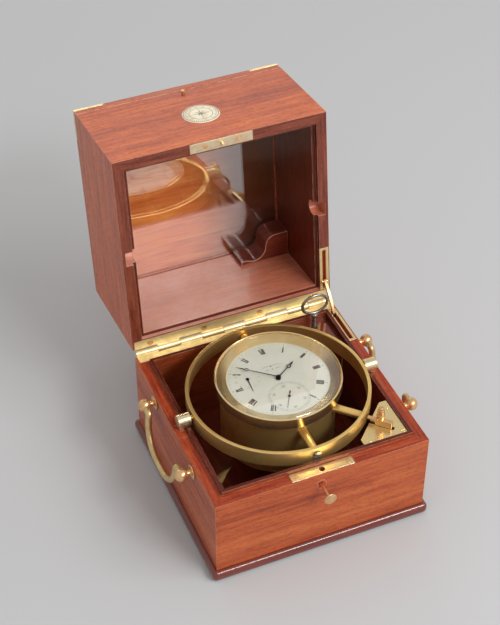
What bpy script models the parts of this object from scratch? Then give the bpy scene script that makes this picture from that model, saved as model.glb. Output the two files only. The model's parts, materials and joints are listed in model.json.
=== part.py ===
"""A two-day marine chronometer in its three-tier mahogany box, standing with the lid open.

Lengths are in millimetres, turned into metres by MM. X runs to the right, -Y is the front, +Z is up,
and the origin is the centre of the underside. Lid pieces are drawn as if the lid were shut, and hang
from an empty on the hinge axis, which is turned to open them.
"""

from math import cos, degrees, pi, radians, sin, sqrt

import bmesh
import bpy
from mathutils import Matrix, Vector

MM = 0.001
GAP = 0.3  # between pieces that touch

# The box
HALF_W, HALF_D = 92.0, 90.5
PLINTH_H, PLINTH_OUT = 10.0, 4.0
RIM_Z = 85.0
RIM_FLAT, LIP_THICK, LIP_H = 9.5, 3.0, 3.5
INNER_X = HALF_W - RIM_FLAT - LIP_THICK
INNER_Y = HALF_D - RIM_FLAT - LIP_THICK
LIP_Z = RIM_Z + LIP_H
GLASS_Z, GLASS_H = 169.0, 2.5
JOINT_Z = 176.8  # between the glazed tier and the top lid
TOP_Z = 186.0
LID_OPEN = 97.0
HINGE_Y = HALF_D + 4.1
TOP_HINGE_Y = HALF_D + 2.6

# The gimbals and the bowl
AXIS_Z = RIM_Z + 7.0
RING_OUT, RING_IN, RING_H = 76.0, 73.0, 14.0
BEARING_R, BEARING_FOOT, NOTCH_R = 5.5, 3.2, 6.4
BOWL_R, BOWL_WALL, BOWL_LOW, BOWL_TOP = 47.5, 1.5, 44.0, 104.0
BEZEL_R, BEZEL_TOP, BEZEL_H = 52.2, 112.0, 11.2
DIAL_R, DIAL_Z, DIAL_THICK = 45.0, 107.0, 1.2
DIAL_SEEN = 42.4
BOSS_TIP = 72.2
LOCK_NOSE = 77.4

# The handles
BALL_X, BALL_Y, BALL_Z, BALL_R = HALF_W + 9.5, 42.0, 77.0, 5.5
BAIL_R, BAIL_HALF, BAIL_DROP, BAIL_CORNER, BAIL_TILT = 2.45, 31.0, 29.5, 15.0, 8.0

# The lid stay, measured along the rims from the hinge axis
STAY_X, STAY_W, STAY_T = 87.0, 3.4, 2.2
STAY_LID, STAY_CASE = 21.0, 17.0

# The fittings
TIER_X, TIER_Y = INNER_X + 0.3, INNER_Y + 0.3
LOCK_HALF, STAPLE_Y = 27.0, -HALF_D + 5.0
BUTTON_X, BUTTON_Z, BUTTON_FACE, CATCH_Z = -2.4, 73.2, -107.0, 171.4
KEY_X, KEY_Y, BOW_WIDE = 65.0, 70.0, 1.22
PLATE_LOW, PLATE_TOP = RIM_Z, RIM_Z + 2.4
KNOB_AT, BOLT_AT = 88.0, 91.2  # from the bowl's axis, along the diagonal

# The movement, which hangs under the dial
PILLAR_PLATE_Z, PLATE_H = 102.0, 2.5
TOP_PLATE_Z = 80.5
SECONDS_Y = -0.525 * DIAL_SEEN
UPDOWN_XY = (-23.5, 8.5)
CENTRE_XY, SECONDS_XY = (0.0, 0.0), (0.0, SECONDS_Y)
THIRD_XY, ESCAPE_XY, BALANCE_XY = (10.6, -10.4), (-11.0, -14.7), (-8.0, -8.0)
BARREL_XY, FUSEE_XY = (19.0, 18.0), (-16.0, 14.0)
PILLAR_RING = 38.0

for old in list(bpy.data.objects):
    bpy.data.objects.remove(old)

parts = bpy.data.collections.new("marine_chronometer")
cutters = bpy.data.collections.new("cutters")
for made in (parts, cutters):
    bpy.context.scene.collection.children.link(made)


def finish(name, colour, roughness, metallic=0.0, alpha=1.0):
    """A plain Principled material."""
    material = bpy.data.materials.new(name)
    material.use_nodes = True
    shader = material.node_tree.nodes["Principled BSDF"]
    shader.inputs["Base Color"].default_value = (*colour, 1.0)
    shader.inputs["Roughness"].default_value = roughness
    shader.inputs["Metallic"].default_value = metallic
    shader.inputs["Alpha"].default_value = alpha
    return material


MAHOGANY = finish("mahogany", (0.34, 0.10, 0.05), 0.35)
BRASS = finish("brass", (0.72, 0.50, 0.20), 0.28, 1.0)
COPPERY = finish("coppery_brass", (0.70, 0.38, 0.22), 0.3, 1.0)
STEEL = finish("steel", (0.45, 0.45, 0.44), 0.3, 1.0)
BLUED = finish("blued_steel", (0.02, 0.02, 0.05), 0.3, 1.0)
GLASS = finish("glass", (0.9, 0.95, 0.95), 0.05, 0.0, 0.25)
SILVERED = finish("silvered_dial", (0.80, 0.79, 0.70), 0.45, 0.2)
BONE = finish("bone", (0.80, 0.76, 0.62), 0.5)


def place(obj, material, home=parts):
    """Puts a new object in its collection with its material."""
    for other in list(obj.users_collection):
        other.objects.unlink(obj)
    home.objects.link(obj)
    obj.data.materials.clear()
    obj.data.materials.append(material)
    return obj


def from_bmesh(name, bm, material, at=(0, 0, 0)):
    mesh = bpy.data.meshes.new(name)
    bm.to_mesh(mesh)
    bm.free()
    obj = bpy.data.objects.new(name, mesh)
    obj.location = Vector(at) * MM
    return place(obj, material)


def block(name, low, high, material=BRASS, round_edge=0.0):
    """A box between two corners, with its vertical and level edges rounded if asked."""
    low, high = Vector(low), Vector(high)
    bm = bmesh.new()
    bmesh.ops.create_cube(bm, size=1.0)
    bmesh.ops.scale(bm, vec=(high - low) * MM, verts=bm.verts)
    obj = from_bmesh(name, bm, material, (low + high) / 2)
    if round_edge:
        bevel = obj.modifiers.new("Rounded edges", "BEVEL")
        bevel.width = round_edge * MM
        bevel.segments = 2
    return obj


def rod(name, start, end, radius, material=BRASS, sides=16):
    """A cylinder from one point to another."""
    start, end = Vector(start), Vector(end)
    bm = bmesh.new()
    bmesh.ops.create_cone(
        bm,
        cap_ends=True,
        segments=sides,
        radius1=radius * MM,
        radius2=radius * MM,
        depth=(end - start).length * MM,
    )
    obj = from_bmesh(name, bm, material, (start + end) / 2)
    obj.rotation_mode = "QUATERNION"
    obj.rotation_quaternion = Vector((0, 0, 1)).rotation_difference(end - start)
    return obj


def turned(name, outline, material=BRASS, sides=24, at=(0, 0, 0), ring=False):
    """A turned piece from (radius, height) points that run down its outer side."""
    mesh = bpy.data.meshes.new(name)
    count = len(outline)
    edges = [(i, (i + 1) % count) for i in range(count if ring else count - 1)]
    mesh.from_pydata([(r * MM, 0, z * MM) for r, z in outline], edges, [])
    obj = bpy.data.objects.new(name, mesh)
    obj.location = Vector(at) * MM
    screw = obj.modifiers.new("Turning", "SCREW")
    screw.steps = screw.render_steps = sides
    screw.use_merge_vertices = True
    screw.merge_threshold = 0.00001
    return place(obj, material)


def stacked(name, steps, material=BRASS, sides=20, at=(0, 0, 0)):
    """A turned piece as a stack of (radius, top, bottom) cylinders, from the top down."""
    outline = [(0.0, steps[0][1])]
    for radius, top, bottom in steps:
        outline += [(radius, top), (radius, bottom)]
    outline.append((0.0, steps[-1][2]))
    return turned(name, outline, material, sides, at)


def as_mesh(obj, weld=0.00001):
    """Turns a curve object into a welded mesh object that keeps its name and place."""
    bpy.context.view_layer.update()
    graph = bpy.context.evaluated_depsgraph_get()
    mesh = bpy.data.meshes.new_from_object(obj.evaluated_get(graph))
    bm = bmesh.new()
    bm.from_mesh(mesh)
    bmesh.ops.remove_doubles(bm, verts=bm.verts, dist=weld)
    bm.to_mesh(mesh)
    bm.free()
    name, material, matrix = obj.name, obj.data.materials[0], obj.matrix_world.copy()
    bpy.data.objects.remove(obj)
    solid = bpy.data.objects.new(name, mesh)
    solid.matrix_world = matrix
    return place(solid, material)


def plate(name, outline, low, high, material=BRASS):
    """A flat piece of an outline in X and Y, between two heights."""
    curve = bpy.data.curves.new(name, "CURVE")
    curve.dimensions = "2D"
    curve.fill_mode = "BOTH"
    curve.extrude = (high - low) / 2 * MM
    spline = curve.splines.new("POLY")
    spline.points.add(len(outline) - 1)
    for point, (x, y) in zip(spline.points, outline):
        point.co = (x * MM, y * MM, 0, 1)
    spline.use_cyclic_u = True
    obj = bpy.data.objects.new(name, curve)
    obj.location.z = (low + high) / 2 * MM
    return as_mesh(place(obj, material))


def tube(name, route, radius, material=BRASS):
    """A round bar along a list of points."""
    curve = bpy.data.curves.new(name, "CURVE")
    curve.dimensions = "3D"
    curve.bevel_depth = radius * MM
    curve.bevel_resolution = 2
    curve.use_fill_caps = True
    spline = curve.splines.new("POLY")
    spline.points.add(len(route) - 1)
    for point, (x, y, z) in zip(spline.points, route):
        point.co = (x * MM, y * MM, z * MM, 1)
    return as_mesh(place(bpy.data.objects.new(name, curve), material))


def boolean(target, tool, operation):
    for other in list(tool.users_collection):
        other.objects.unlink(tool)
    cutters.objects.link(tool)
    tool.hide_render = True
    tool.display_type = "WIRE"
    modifier = target.modifiers.new(operation.title(), "BOOLEAN")
    modifier.operation = operation
    modifier.object = tool


def cut(target, *tools):
    """Takes the tools' shapes out of the target."""
    for tool in tools:
        boolean(target, tool, "DIFFERENCE")
    return target


def fuse(target, *others):
    """Joins the others to the target as one solid."""
    for other in others:
        boolean(target, other, "UNION")
    return target


def cutting(shape, *args, **options):
    """A cutter made by one of the shape functions."""
    return shape("cutter", *args, **options)


def pivot(name, at, parent=None):
    """An empty on a joint's axis."""
    empty = bpy.data.objects.new(name, None)
    empty.empty_display_size = 0.01
    parts.objects.link(empty)
    empty.location = Vector(at) * MM
    if parent:
        hang(parent, empty)
    return empty


def hang(empty, *objects):
    """Makes objects, and the cutters that shape them, follow an empty from where they are."""
    for obj in objects:
        for follower in [obj] + [m.object for m in obj.modifiers if m.type == "BOOLEAN"]:
            follower.parent = empty
            follower.location -= home_of(empty)


def home_of(empty):
    """Where an empty stands before its parents are turned."""
    above = home_of(empty.parent) if empty.parent else Vector((0, 0, 0))
    return above + empty.location


def arc(centre, radius, start, end, steps):
    """Points along an arc, with its angles in degrees."""
    turn = [radians(start + (end - start) * i / steps) for i in range(steps + 1)]
    return [(centre[0] + radius * cos(t), centre[1] + radius * sin(t)) for t in turn]


# ---------------------------------------------------------------- the case
def build_case():
    low = PLINTH_H + GAP
    walls = block("lower_case_walls", (-HALF_W, -HALF_D, low), (HALF_W, HALF_D, RIM_Z), MAHOGANY)
    lip_x, lip_y = INNER_X + LIP_THICK, INNER_Y + LIP_THICK
    fuse(walls, block("dust_lip", (-lip_x, -lip_y, low + 5), (lip_x, lip_y, LIP_Z), MAHOGANY))
    cut(walls, cutting(block, (-INNER_X, -INNER_Y, 0), (INNER_X, INNER_Y, 2 * RIM_Z)))
    out_x, out_y = HALF_W + PLINTH_OUT, HALF_D + PLINTH_OUT
    block("bottom_board", (-out_x, -out_y, 0), (out_x, out_y, PLINTH_H), MAHOGANY, PLINTH_OUT * 0.9)
    return walls


def corner_outline(side_y, leg, blunt):
    """A right-angled corner piece in the right-hand front (-1) or back (+1) corner of the case."""
    x, y = INNER_X - GAP, side_y * (INNER_Y - GAP)
    inward = -side_y
    outline = [(x, y), (x, y + inward * leg), (x - blunt, y + inward * leg)]
    outline += [(x - leg, y + inward * blunt), (x - leg, y)]
    return outline if side_y < 0 else outline[::-1]


def build_corner_blocks():
    plate("front_corner_block", corner_outline(-1, 38.0, 5.0), 62.0, RIM_Z - 0.4, MAHOGANY)
    rear = plate("key_corner_block", corner_outline(1, 38.0, 1.0), 46.0, 83.0, MAHOGANY)
    cut(rear, cutting(rod, (KEY_X, KEY_Y, 52.0), (KEY_X, KEY_Y, 90.0), 3.0))


def build_bearings(walls):
    """Short barrels on the side rims that carry the gimbal ring's pivots."""
    for name, side in (("left", -1), ("right", 1)):
        near, far = sorted((side * 77.7, side * 88.3))
        bearing = rod(f"gimbal_bearing_{name}", (near, 0, AXIS_Z), (far, 0, AXIS_Z), BEARING_R, sides=20)
        foot = BEARING_FOOT
        fuse(bearing, block("foot", (near, -foot, RIM_Z - 0.2), (far, foot, AXIS_Z - 3.0)))
        cut(bearing, cutting(rod, (side * 70, 0, AXIS_Z), (side * 85.4, 0, AXIS_Z), 2.4))
        room = BEARING_R + 0.4
        cut(walls, cutting(rod, (near - 0.5, 0, AXIS_Z), (far + 0.5, 0, AXIS_Z), room, sides=20))
        low = (near - 0.5, -foot - GAP, RIM_Z - 0.5)
        cut(walls, cutting(block, low, (far + 0.5, foot + GAP, 2 * RIM_Z)))


def build_lock(walls):
    """The lock plate let into the front rim, and the push button that frees the lid."""
    y_low, y_high = -HALF_D + 0.8, -HALF_D + 9.2
    z, half_room = RIM_Z, LOCK_HALF + GAP
    lock = block("lock_plate", (-LOCK_HALF, y_low, z - 1.5), (LOCK_HALF, y_high, z), BRASS)
    cut(walls, cutting(block, (-half_room, y_low - GAP, z - 1.8), (half_room, y_high + GAP, z + 9)))
    cut(lock, cutting(rod, (0, STAPLE_Y, z - 5), (0, STAPLE_Y, z + 5), 2.4))
    cut(walls, cutting(rod, (0, STAPLE_Y, z - 8), (0, STAPLE_Y, z + 5), 2.8))
    x, z = BUTTON_X, BUTTON_Z
    cut(walls, cutting(rod, (x, -HALF_D - 5, z), (x, -82, z), 1.5))
    cut(walls, cutting(rod, (x, -HALF_D - 5, z), (x, -HALF_D + 2.5, z), 5.4))
    bush = rod("button_bush", (x, -HALF_D - 0.4, z), (x, -HALF_D + 2.2, z), 5.1, MAHOGANY)
    cut(bush, cutting(rod, (x, -110, z), (x, -80, z), 1.5))
    button = rod("release_button", (x, BUTTON_FACE, z), (x, -86.5, z), 1.1, COPPERY, 12)
    head = rod("head", (x, BUTTON_FACE - 1.5, z), (x, BUTTON_FACE + 0.4, z), 5.2, COPPERY, 20)
    fuse(button, head)
    hang(pivot("button_axis", (x, BUTTON_FACE, z)), button)


def bail_route(side):
    """The bail from one end pin to the other, cranked outward by its tilt."""
    lean = radians(BAIL_TILT)
    flat = [(-BALL_Y + BALL_R + 0.7, 0.0), (-BAIL_HALF - 2.0, 0.0)]
    flat += [(-BAIL_HALF, -3.0)]
    flat += arc((-BAIL_HALF + BAIL_CORNER, -BAIL_DROP + BAIL_CORNER), BAIL_CORNER, 180, 270, 5)
    route = flat + [(-y, z) for y, z in flat[::-1]]
    return [(side * (BALL_X - z * sin(lean)), y, BALL_Z + z * cos(lean)) for y, z in route]


def build_handles():
    for name, side in (("left", -1), ("right", 1)):
        axis = pivot(f"{name}_bail_axis", (side * BALL_X, 0, BALL_Z))
        bail = tube(f"bail_{name}", bail_route(side), BAIL_R)
        for end_name, end in (("front", -1), ("rear", 1)):
            y = end * BALL_Y
            wall = HALF_W + GAP
            outline = ball_outline(BALL_X - wall)
            post = turned(f"handle_post_{name}_{end_name}", outline, sides=12, at=(side * wall, y, BALL_Z))
            post.rotation_euler.y = side * pi / 2
            hole_end = end * (BALL_Y - 1.2)
            hole = cutting(rod, (side * BALL_X, 0, BALL_Z), (side * BALL_X, hole_end, BALL_Z), 1.7, sides=12)
            cut(post, hole)
            tip = end * (BALL_Y - 2.0)
            pin = rod("pin", (side * BALL_X, end * 33, BALL_Z), (side * BALL_X, tip, BALL_Z), 1.3, sides=12)
            fuse(bail, pin)
        hang(axis, bail)


def ball_outline(reach):
    """A rose plate, a neck and a ball, from the ball's pole down to the wall."""
    ball = arc((0, reach), BALL_R, 90, -62, 7)
    ball[0] = (0.0, reach + BALL_R)
    return ball + [(2.5, 1.3), (6.2, 1.3), (6.2, 0.0), (0.0, 0.0)]


# ------------------------------------------------------------ the glazed tier and the top lid
def build_tier():
    low, high = RIM_Z + GAP, JOINT_Z
    tier = block("middle_tier_walls", (-HALF_W, -HALF_D, low), (HALF_W, HALF_D, high), MAHOGANY)
    cut(tier, cutting(block, (-TIER_X, -TIER_Y, 0), (TIER_X, TIER_Y, 2 * high)))
    rebate_x, rebate_y = INNER_X + LIP_THICK + 0.4, INNER_Y + LIP_THICK + 0.4
    cut(tier, cutting(block, (-rebate_x, -rebate_y, 0), (rebate_x, rebate_y, LIP_Z + 0.5)))
    seat_x, seat_y = TIER_X + 3.4, TIER_Y + 3.4
    cut(tier, cutting(block, (-seat_x, -seat_y, GLASS_Z - GAP), (seat_x, seat_y, 2 * high)))
    for side in (-1, 1):
        near, far = sorted((side * 70, side * 89.2))
        cut(tier, cutting(rod, (near, 0, AXIS_Z), (far, 0, AXIS_Z), NOTCH_R, sides=20))
        cut(tier, cutting(block, (near, -NOTCH_R, 0), (far, NOTCH_R, AXIS_Z)))
    pane_x, pane_y = seat_x - GAP, seat_y - GAP
    pane_top = GLASS_Z + GLASS_H
    pane = block("glass_pane", (-pane_x, -pane_y, GLASS_Z), (pane_x, pane_y, pane_top), GLASS)
    bead_low = pane_top + GAP
    bead = block("glass_bead", (-pane_x, -pane_y, bead_low), (pane_x, pane_y, bead_low + 3.4), MAHOGANY)
    cut(bead, cutting(block, (-TIER_X, -TIER_Y, 0), (TIER_X, TIER_Y, 2 * high)))
    return tier, pane, bead


def bracket_outline():
    """A corner bracket with an ogee front edge, in the tier's right-hand back corner."""
    x, y = TIER_X - GAP, TIER_Y - GAP
    hollow = arc((x - 34.0, y - 14.0), 12.0, 90, 0, 5)
    swell = arc((x - 12.0, y - 14.0), 10.0, 180, 265, 5)
    foot = [(x, y), (x - 46.0, y), (x - 46.0, y - 4.0), (x - 41.0, y - 4.0)]
    return foot + hollow + swell + [(x, y - 24.0)]


def build_tier_fittings(tier):
    bracket = plate("key_bracket", bracket_outline(), 146.0, GLASS_Z - 0.5, MAHOGANY)
    y_low, y_high = -HALF_D + 0.8, -HALF_D + 9.2
    z = RIM_Z + GAP
    strike = block("strike_plate", (-LOCK_HALF, y_low, z), (LOCK_HALF, y_high, z + 1.5), BRASS)
    low = (-LOCK_HALF - GAP, y_low - GAP, 0)
    cut(tier, cutting(block, low, (LOCK_HALF + GAP, y_high + GAP, z + 1.8)))
    fuse(strike, rod("staple", (0, STAPLE_Y, z - 4.6), (0, STAPLE_Y, z + 1.0), 1.3, COPPERY, 12))
    face = -HALF_D
    roundel = rod("number_roundel", (0, face - 0.3, 130), (0, face + 1.2, 130), 15.7, BONE, 32)
    cut(tier, cutting(rod, (0, face - 5, 130), (0, face + 1.5, 130), 16.0, sides=32))
    z = CATCH_Z
    catch = rod("top_catch_button", (0, face - 1.8, z), (0, face + 4.5, z), 1.1, COPPERY, 12)
    fuse(catch, rod("head", (0, face - 3.3, z), (0, face - 1.6, z), 1.9, COPPERY, 12))
    cut(tier, cutting(rod, (0, face - 5, z), (0, face + 6.5, z), 1.5, sides=12))
    return [bracket, strike, roundel], catch


def strap_outline(side):
    """An L-shaped brass strap for a front corner of the top lid."""
    x, y, leg, wide = side * (HALF_W + 0.1), -HALF_D - 0.1, 26.0, 7.0
    outline = [(x, y), (x - side * leg, y), (x - side * leg, y + wide)]
    outline += [(x - side * wide, y + wide), (x - side * wide, y + leg), (x, y + leg)]
    return outline[::side]


def build_top_lid():
    low = JOINT_Z + GAP
    lid = block("top_lid", (-HALF_W, -HALF_D, low), (HALF_W, HALF_D, TOP_Z), MAHOGANY)
    straps = []
    for name, side in (("left", -1), ("right", 1)):
        straps.append(plate(f"corner_strap_{name}", strap_outline(side), TOP_Z - 2.6, TOP_Z + 0.1))
        x, y = side * HALF_W, -HALF_D
        inner_x, inner_y = x - side * 7.3, y + 7.3
        far_x, far_y = x - side * 26.3, y + 26.3
        for x_end, y_end in ((far_x, inner_y), (inner_x, far_y)):
            low_x, high_x = sorted((x_end, x + side * 9))
            cut(lid, cutting(block, (low_x, y - 9, TOP_Z - 2.9), (high_x, y_end, TOP_Z + 9)))
    return [lid] + straps


# ------------------------------------------------------------ hinges and stay
def knuckles(leaf, y, z, radius, length, count, first):
    """Joins every other knuckle of a hinge to a leaf."""
    step = length / count
    for i in range(first, count, 2):
        x = -length / 2 + i * step
        fuse(leaf, rod("knuckle", (x + GAP / 2, y, z), (x + step - GAP / 2, y, z), radius, sides=16))


def build_main_hinge(walls, tier):
    """A full-width brass hinge, with its leaves let into the two back rims."""
    half, leaf_y = HALF_W - 2.0, HALF_D - 7.5
    lower = block("hinge_leaf_lower", (-half, leaf_y, RIM_Z - 1.5), (half, HINGE_Y, RIM_Z - 0.1))
    upper = block("hinge_leaf_upper", (-half, leaf_y, RIM_Z + 0.4), (half, HINGE_Y, RIM_Z + 1.8))
    room = (half + GAP, HALF_D + 9, RIM_Z + 9)
    cut(walls, cutting(block, (-half - GAP, leaf_y - GAP, RIM_Z - 1.8), room))
    cut(tier, cutting(block, (-half - GAP, leaf_y - GAP, 0), (half + GAP, HALF_D + 9, RIM_Z + 2.1)))
    count = 9
    for leaf, first, side in ((lower, 0, 1), (upper, 1, -1)):
        step = 2 * half / count
        for i in range(1 - first, count, 2):
            x = -half + i * step
            low = (x - 0.15, HALF_D + 0.2, RIM_Z - 5)
            cut(leaf, cutting(block, low, (x + step + 0.15, HALF_D + 9, RIM_Z + 5)))
        knuckles(leaf, HINGE_Y, RIM_Z, 2.9, 2 * half, count, first)
        cut(leaf, cutting(rod, (-99, HINGE_Y, RIM_Z), (99, HINGE_Y, RIM_Z), 1.5, sides=12))
    rod("hinge_pin", (-half, HINGE_Y, RIM_Z), (half, HINGE_Y, RIM_Z), 1.2, sides=12)
    return upper


def build_top_hinge():
    """A brass strip hinge on the back, between the glazed tier and the top lid."""
    half, near = 40.0, HALF_D + GAP
    z = JOINT_Z + GAP / 2
    lower = block("top_hinge_lower", (-half, near, z - 9), (half, near + 1.2, z - 0.4))
    upper = block("top_hinge_upper", (-half, near, z + 0.4), (half, near + 1.2, z + 8))
    count = 5
    for leaf, first in ((lower, 0), (upper, 1)):
        step = 2 * half / count
        for i in range(1 - first, count, 2):
            x = -half + i * step
            low = (x - 0.15, HALF_D - 5, z - 2.4)
            cut(leaf, cutting(block, low, (x + step + 0.15, HALF_D + 9, z + 2.4)))
        knuckles(leaf, TOP_HINGE_Y, z, 2.0, 2 * half, count, first)
    cut(upper, cutting(rod, (-50, TOP_HINGE_Y, z), (50, TOP_HINGE_Y, z), 1.0, sides=12))
    fuse(lower, rod("top_pin", (-half + 1, TOP_HINGE_Y, z), (half - 1, TOP_HINGE_Y, z), 0.7, sides=12))
    return lower, upper


def stay_length():
    lean = radians(LID_OPEN)
    return sqrt(STAY_LID**2 + STAY_CASE**2 - 2 * STAY_LID * STAY_CASE * cos(lean))


def stay_outline(length, bow=1.6):
    """A bowed bar with round ends, from its pivot at the origin to its free end on +X."""
    half = STAY_W / 2
    radius = (length**2 / 4 + bow**2) / (2 * bow)
    centre = (length / 2, bow - radius)
    spread = degrees(length / 2 / radius)
    outer = arc(centre, radius + half, 90 + spread, 90 - spread, 8)
    inner = arc(centre, radius - half, 90 - spread, 90 + spread, 8)
    nose = arc((length, 0), half, 90 - spread, -90 - spread, 5)[1:-1]
    eye = arc((0, 0), half, 270 + spread, 90 + spread, 5)[1:-1]
    return (outer + nose + inner + eye)[::-1]


def build_stay(walls, tier):
    """The stay arm, pivoted in the lid's right rim, and the two slotted plates."""
    length = stay_length()
    x, reach = STAY_X, STAY_LID + length
    slot = STAY_T / 2 + 0.6
    low_x, high_x, near, far = x - 4.2, x + 4.2, HALF_D - 8.5, HALF_D - 51.0
    for name, z_low, z_high, home in (
        ("stay_plate_lower", RIM_Z - 1.5, RIM_Z, walls),
        ("stay_plate_upper", RIM_Z + GAP, RIM_Z + 1.8, tier),
    ):
        leaf = block(name, (low_x, far, z_low), (high_x, near, z_high))
        down, up = min(z_low, RIM_Z - 0.5) - 0.3, z_high + 0.3
        room = (low_x - GAP, far - GAP, down), (high_x + GAP, near + GAP, up)
        cut(home, cutting(block, *room))
        for target in (home, leaf):
            y_far, y_near = HINGE_Y - reach - 3.2, HINGE_Y - STAY_CASE + 3.2
            cut(target, cutting(block, (x - slot, y_far, RIM_Z - 5), (x + slot, y_near, RIM_Z + 5)))
            eye_y = HINGE_Y - STAY_LID
            cut(target, cutting(rod, (x - 3.2, eye_y, RIM_Z), (x + 3.2, eye_y, RIM_Z), 1.3, sides=12))
        if home is tier:
            upper = leaf
    eye_lean = radians(LID_OPEN)
    eye = Vector((HINGE_Y - STAY_LID * cos(eye_lean), RIM_Z + STAY_LID * sin(eye_lean)))
    along = (Vector((HINGE_Y - STAY_CASE, RIM_Z)) - eye).normalized()
    arm = plate("stay_arm", stay_outline(length), -STAY_T / 2, STAY_T / 2, COPPERY)
    fuse(arm, rod("stay_pin", (0, 0, -2.8), (0, 0, 2.8), 0.9, COPPERY, 12))
    axis = pivot("stay_axis", (0, 0, 0))
    hang(axis, arm)
    axis.location = Vector((x, eye.x, eye.y)) * MM
    columns = ((0, along.x, along.y), (0, along.y, -along.x), (-1, 0, 0))
    axis.rotation_euler = Matrix(columns).transposed().to_euler()
    return upper


# ------------------------------------------------------------ the gimbals
def diagonal(radius, z=AXIS_Z):
    """A point in the direction of the right-hand front corner."""
    return (radius / sqrt(2), -radius / sqrt(2), z)


def build_ring():
    top, bottom = AXIS_Z + RING_H / 2, AXIS_Z - RING_H / 2
    outline = [(RING_IN, top), (RING_OUT, top), (RING_OUT, bottom), (RING_IN, bottom)]
    ring = turned("gimbal_ring", outline, sides=48, ring=True)
    for side in (-1, 1):
        fuse(ring, rod("pin", (side * 74.5, 0, AXIS_Z), (side * 84.5, 0, AXIS_Z), 2.0))
        cut(ring, cutting(rod, (0, side * 70, AXIS_Z), (0, side * 80, AXIS_Z), 2.2))
    cut(ring, cutting(rod, diagonal(70), diagonal(80), 2.4))
    axis = pivot("ring_axis", (0, 0, AXIS_Z))
    screws = []
    for name, side in (("front", -1), ("rear", 1)):
        screw = rod(f"bowl_pivot_{name}", (0, side * 66.5, AXIS_Z), (0, side * 76.6, AXIS_Z), 1.8)
        fuse(screw, rod("head", (0, side * 76.3, AXIS_Z), (0, side * 77.2, AXIS_Z), 3.6))
        screws.append(screw)
    hang(axis, ring, *screws)
    return axis


def build_bowl(bowl_axis):
    outer, inner = BOWL_R, BOWL_R - BOWL_WALL
    low, high = BOWL_LOW, BOWL_TOP
    outline = [(0, low + 2.0), (inner - 3, low + 2.0), (inner, low + 5.0), (inner, high)]
    outline += [(outer, high)] + arc((outer - 4, low + 4), 4, 0, -90, 3) + [(0, low)]
    bowl = turned("bowl", outline, sides=48)
    for side in (-1, 1):
        fuse(bowl, rod("boss", (0, side * (outer - 0.8), AXIS_Z), (0, side * BOSS_TIP, AXIS_Z), 3.6))
        cut(bowl, cutting(rod, (0, side * 64, AXIS_Z), (0, side * 80, AXIS_Z), 2.1))
    fuse(bowl, rod("lock_boss", diagonal(outer - 0.8), diagonal(BOSS_TIP), 3.3))
    cut(bowl, cutting(rod, diagonal(BOSS_TIP - 4.0), diagonal(80), 2.2))
    x, y = FUSEE_XY
    cut(bowl, cutting(rod, (x, y, low - 5), (x, y, low + 5), 3.2))
    bezel = turned("bezel", bezel_outline(), sides=48, ring=True)
    crystal = rod("crystal", (0, 0, BEZEL_TOP - 1.4), (0, 0, BEZEL_TOP - 0.4), 50.3, GLASS, 48)
    shutter = plate("dust_shutter", shutter_outline(), low - 1.5, low - GAP)
    hang(pivot("shutter_axis", (0, 0, low), bowl_axis), shutter)
    hang(bowl_axis, bowl, bezel, crystal)


def bezel_outline():
    """The bezel's section: a drum that drops over the bowl, and a polished slope down to the dial."""
    top, bottom = BEZEL_TOP, BEZEL_TOP - BEZEL_H
    slip = BOWL_R + GAP
    outline = [(50.7, top), (BEZEL_R - 0.6, top), (BEZEL_R, top - 0.6), (BEZEL_R, bottom + 0.6)]
    outline += [(BEZEL_R - 0.6, bottom), (slip, bottom), (slip, DIAL_Z + GAP), (DIAL_SEEN, DIAL_Z + GAP)]
    return outline + [(DIAL_SEEN, DIAL_Z + 0.7), (50.7, top - 1.7)]


def shutter_outline():
    """A round-ended cover that turns about the middle of the bowl's floor."""
    aim = degrees(Vector((1, 0)).angle(Vector(FUSEE_XY)))
    return arc((0, 0), 5.0, aim + 90, aim + 270, 6) + arc(FUSEE_XY, 6.0, aim - 90, aim + 90, 6)


def build_gimbal_lock():
    """The corner plate, the bolt that slides through the ring into the bowl, and its thumbscrew."""
    base = plate("lock_corner_plate", corner_outline(-1, 38.5, 6.5), PLATE_LOW, PLATE_TOP)
    slot = block("slot", (79.6, -1.6, RIM_Z - 2), (101, 1.6, RIM_Z + 9))
    slot.rotation_euler.z = -pi / 4
    slot.location = Vector(diagonal(90.3, RIM_Z + 3.5)) * MM
    cut(base, slot)
    low, high = PLATE_TOP + GAP, AXIS_Z + 2.1
    bolt = block("lock_bolt", (-7.0, -2.1, low), (7.0, 2.1, high), COPPERY)
    bolt.rotation_euler.z = -pi / 4
    bolt.location = Vector(diagonal(BOLT_AT, (low + high) / 2)) * MM
    fuse(bolt, rod("nose", diagonal(LOCK_NOSE), diagonal(86.0), 1.8, COPPERY))
    fuse(bolt, rod("stud", diagonal(KNOB_AT, PLATE_LOW + GAP), diagonal(KNOB_AT, low + 1), 1.2, COPPERY))
    axis = pivot("bolt_axis", diagonal(KNOB_AT))
    hang(axis, bolt)
    foot = high + GAP
    steps = [(2.3, foot + 12.5, foot + 10.5), (2.9, foot + 10.5, foot + 5.0), (3.5, foot + 5.0, foot)]
    x, y, _ = diagonal(KNOB_AT)
    screw = stacked("lock_thumbscrew", steps, COPPERY, at=(x, y, 0))
    hang(axis, screw)


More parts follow.
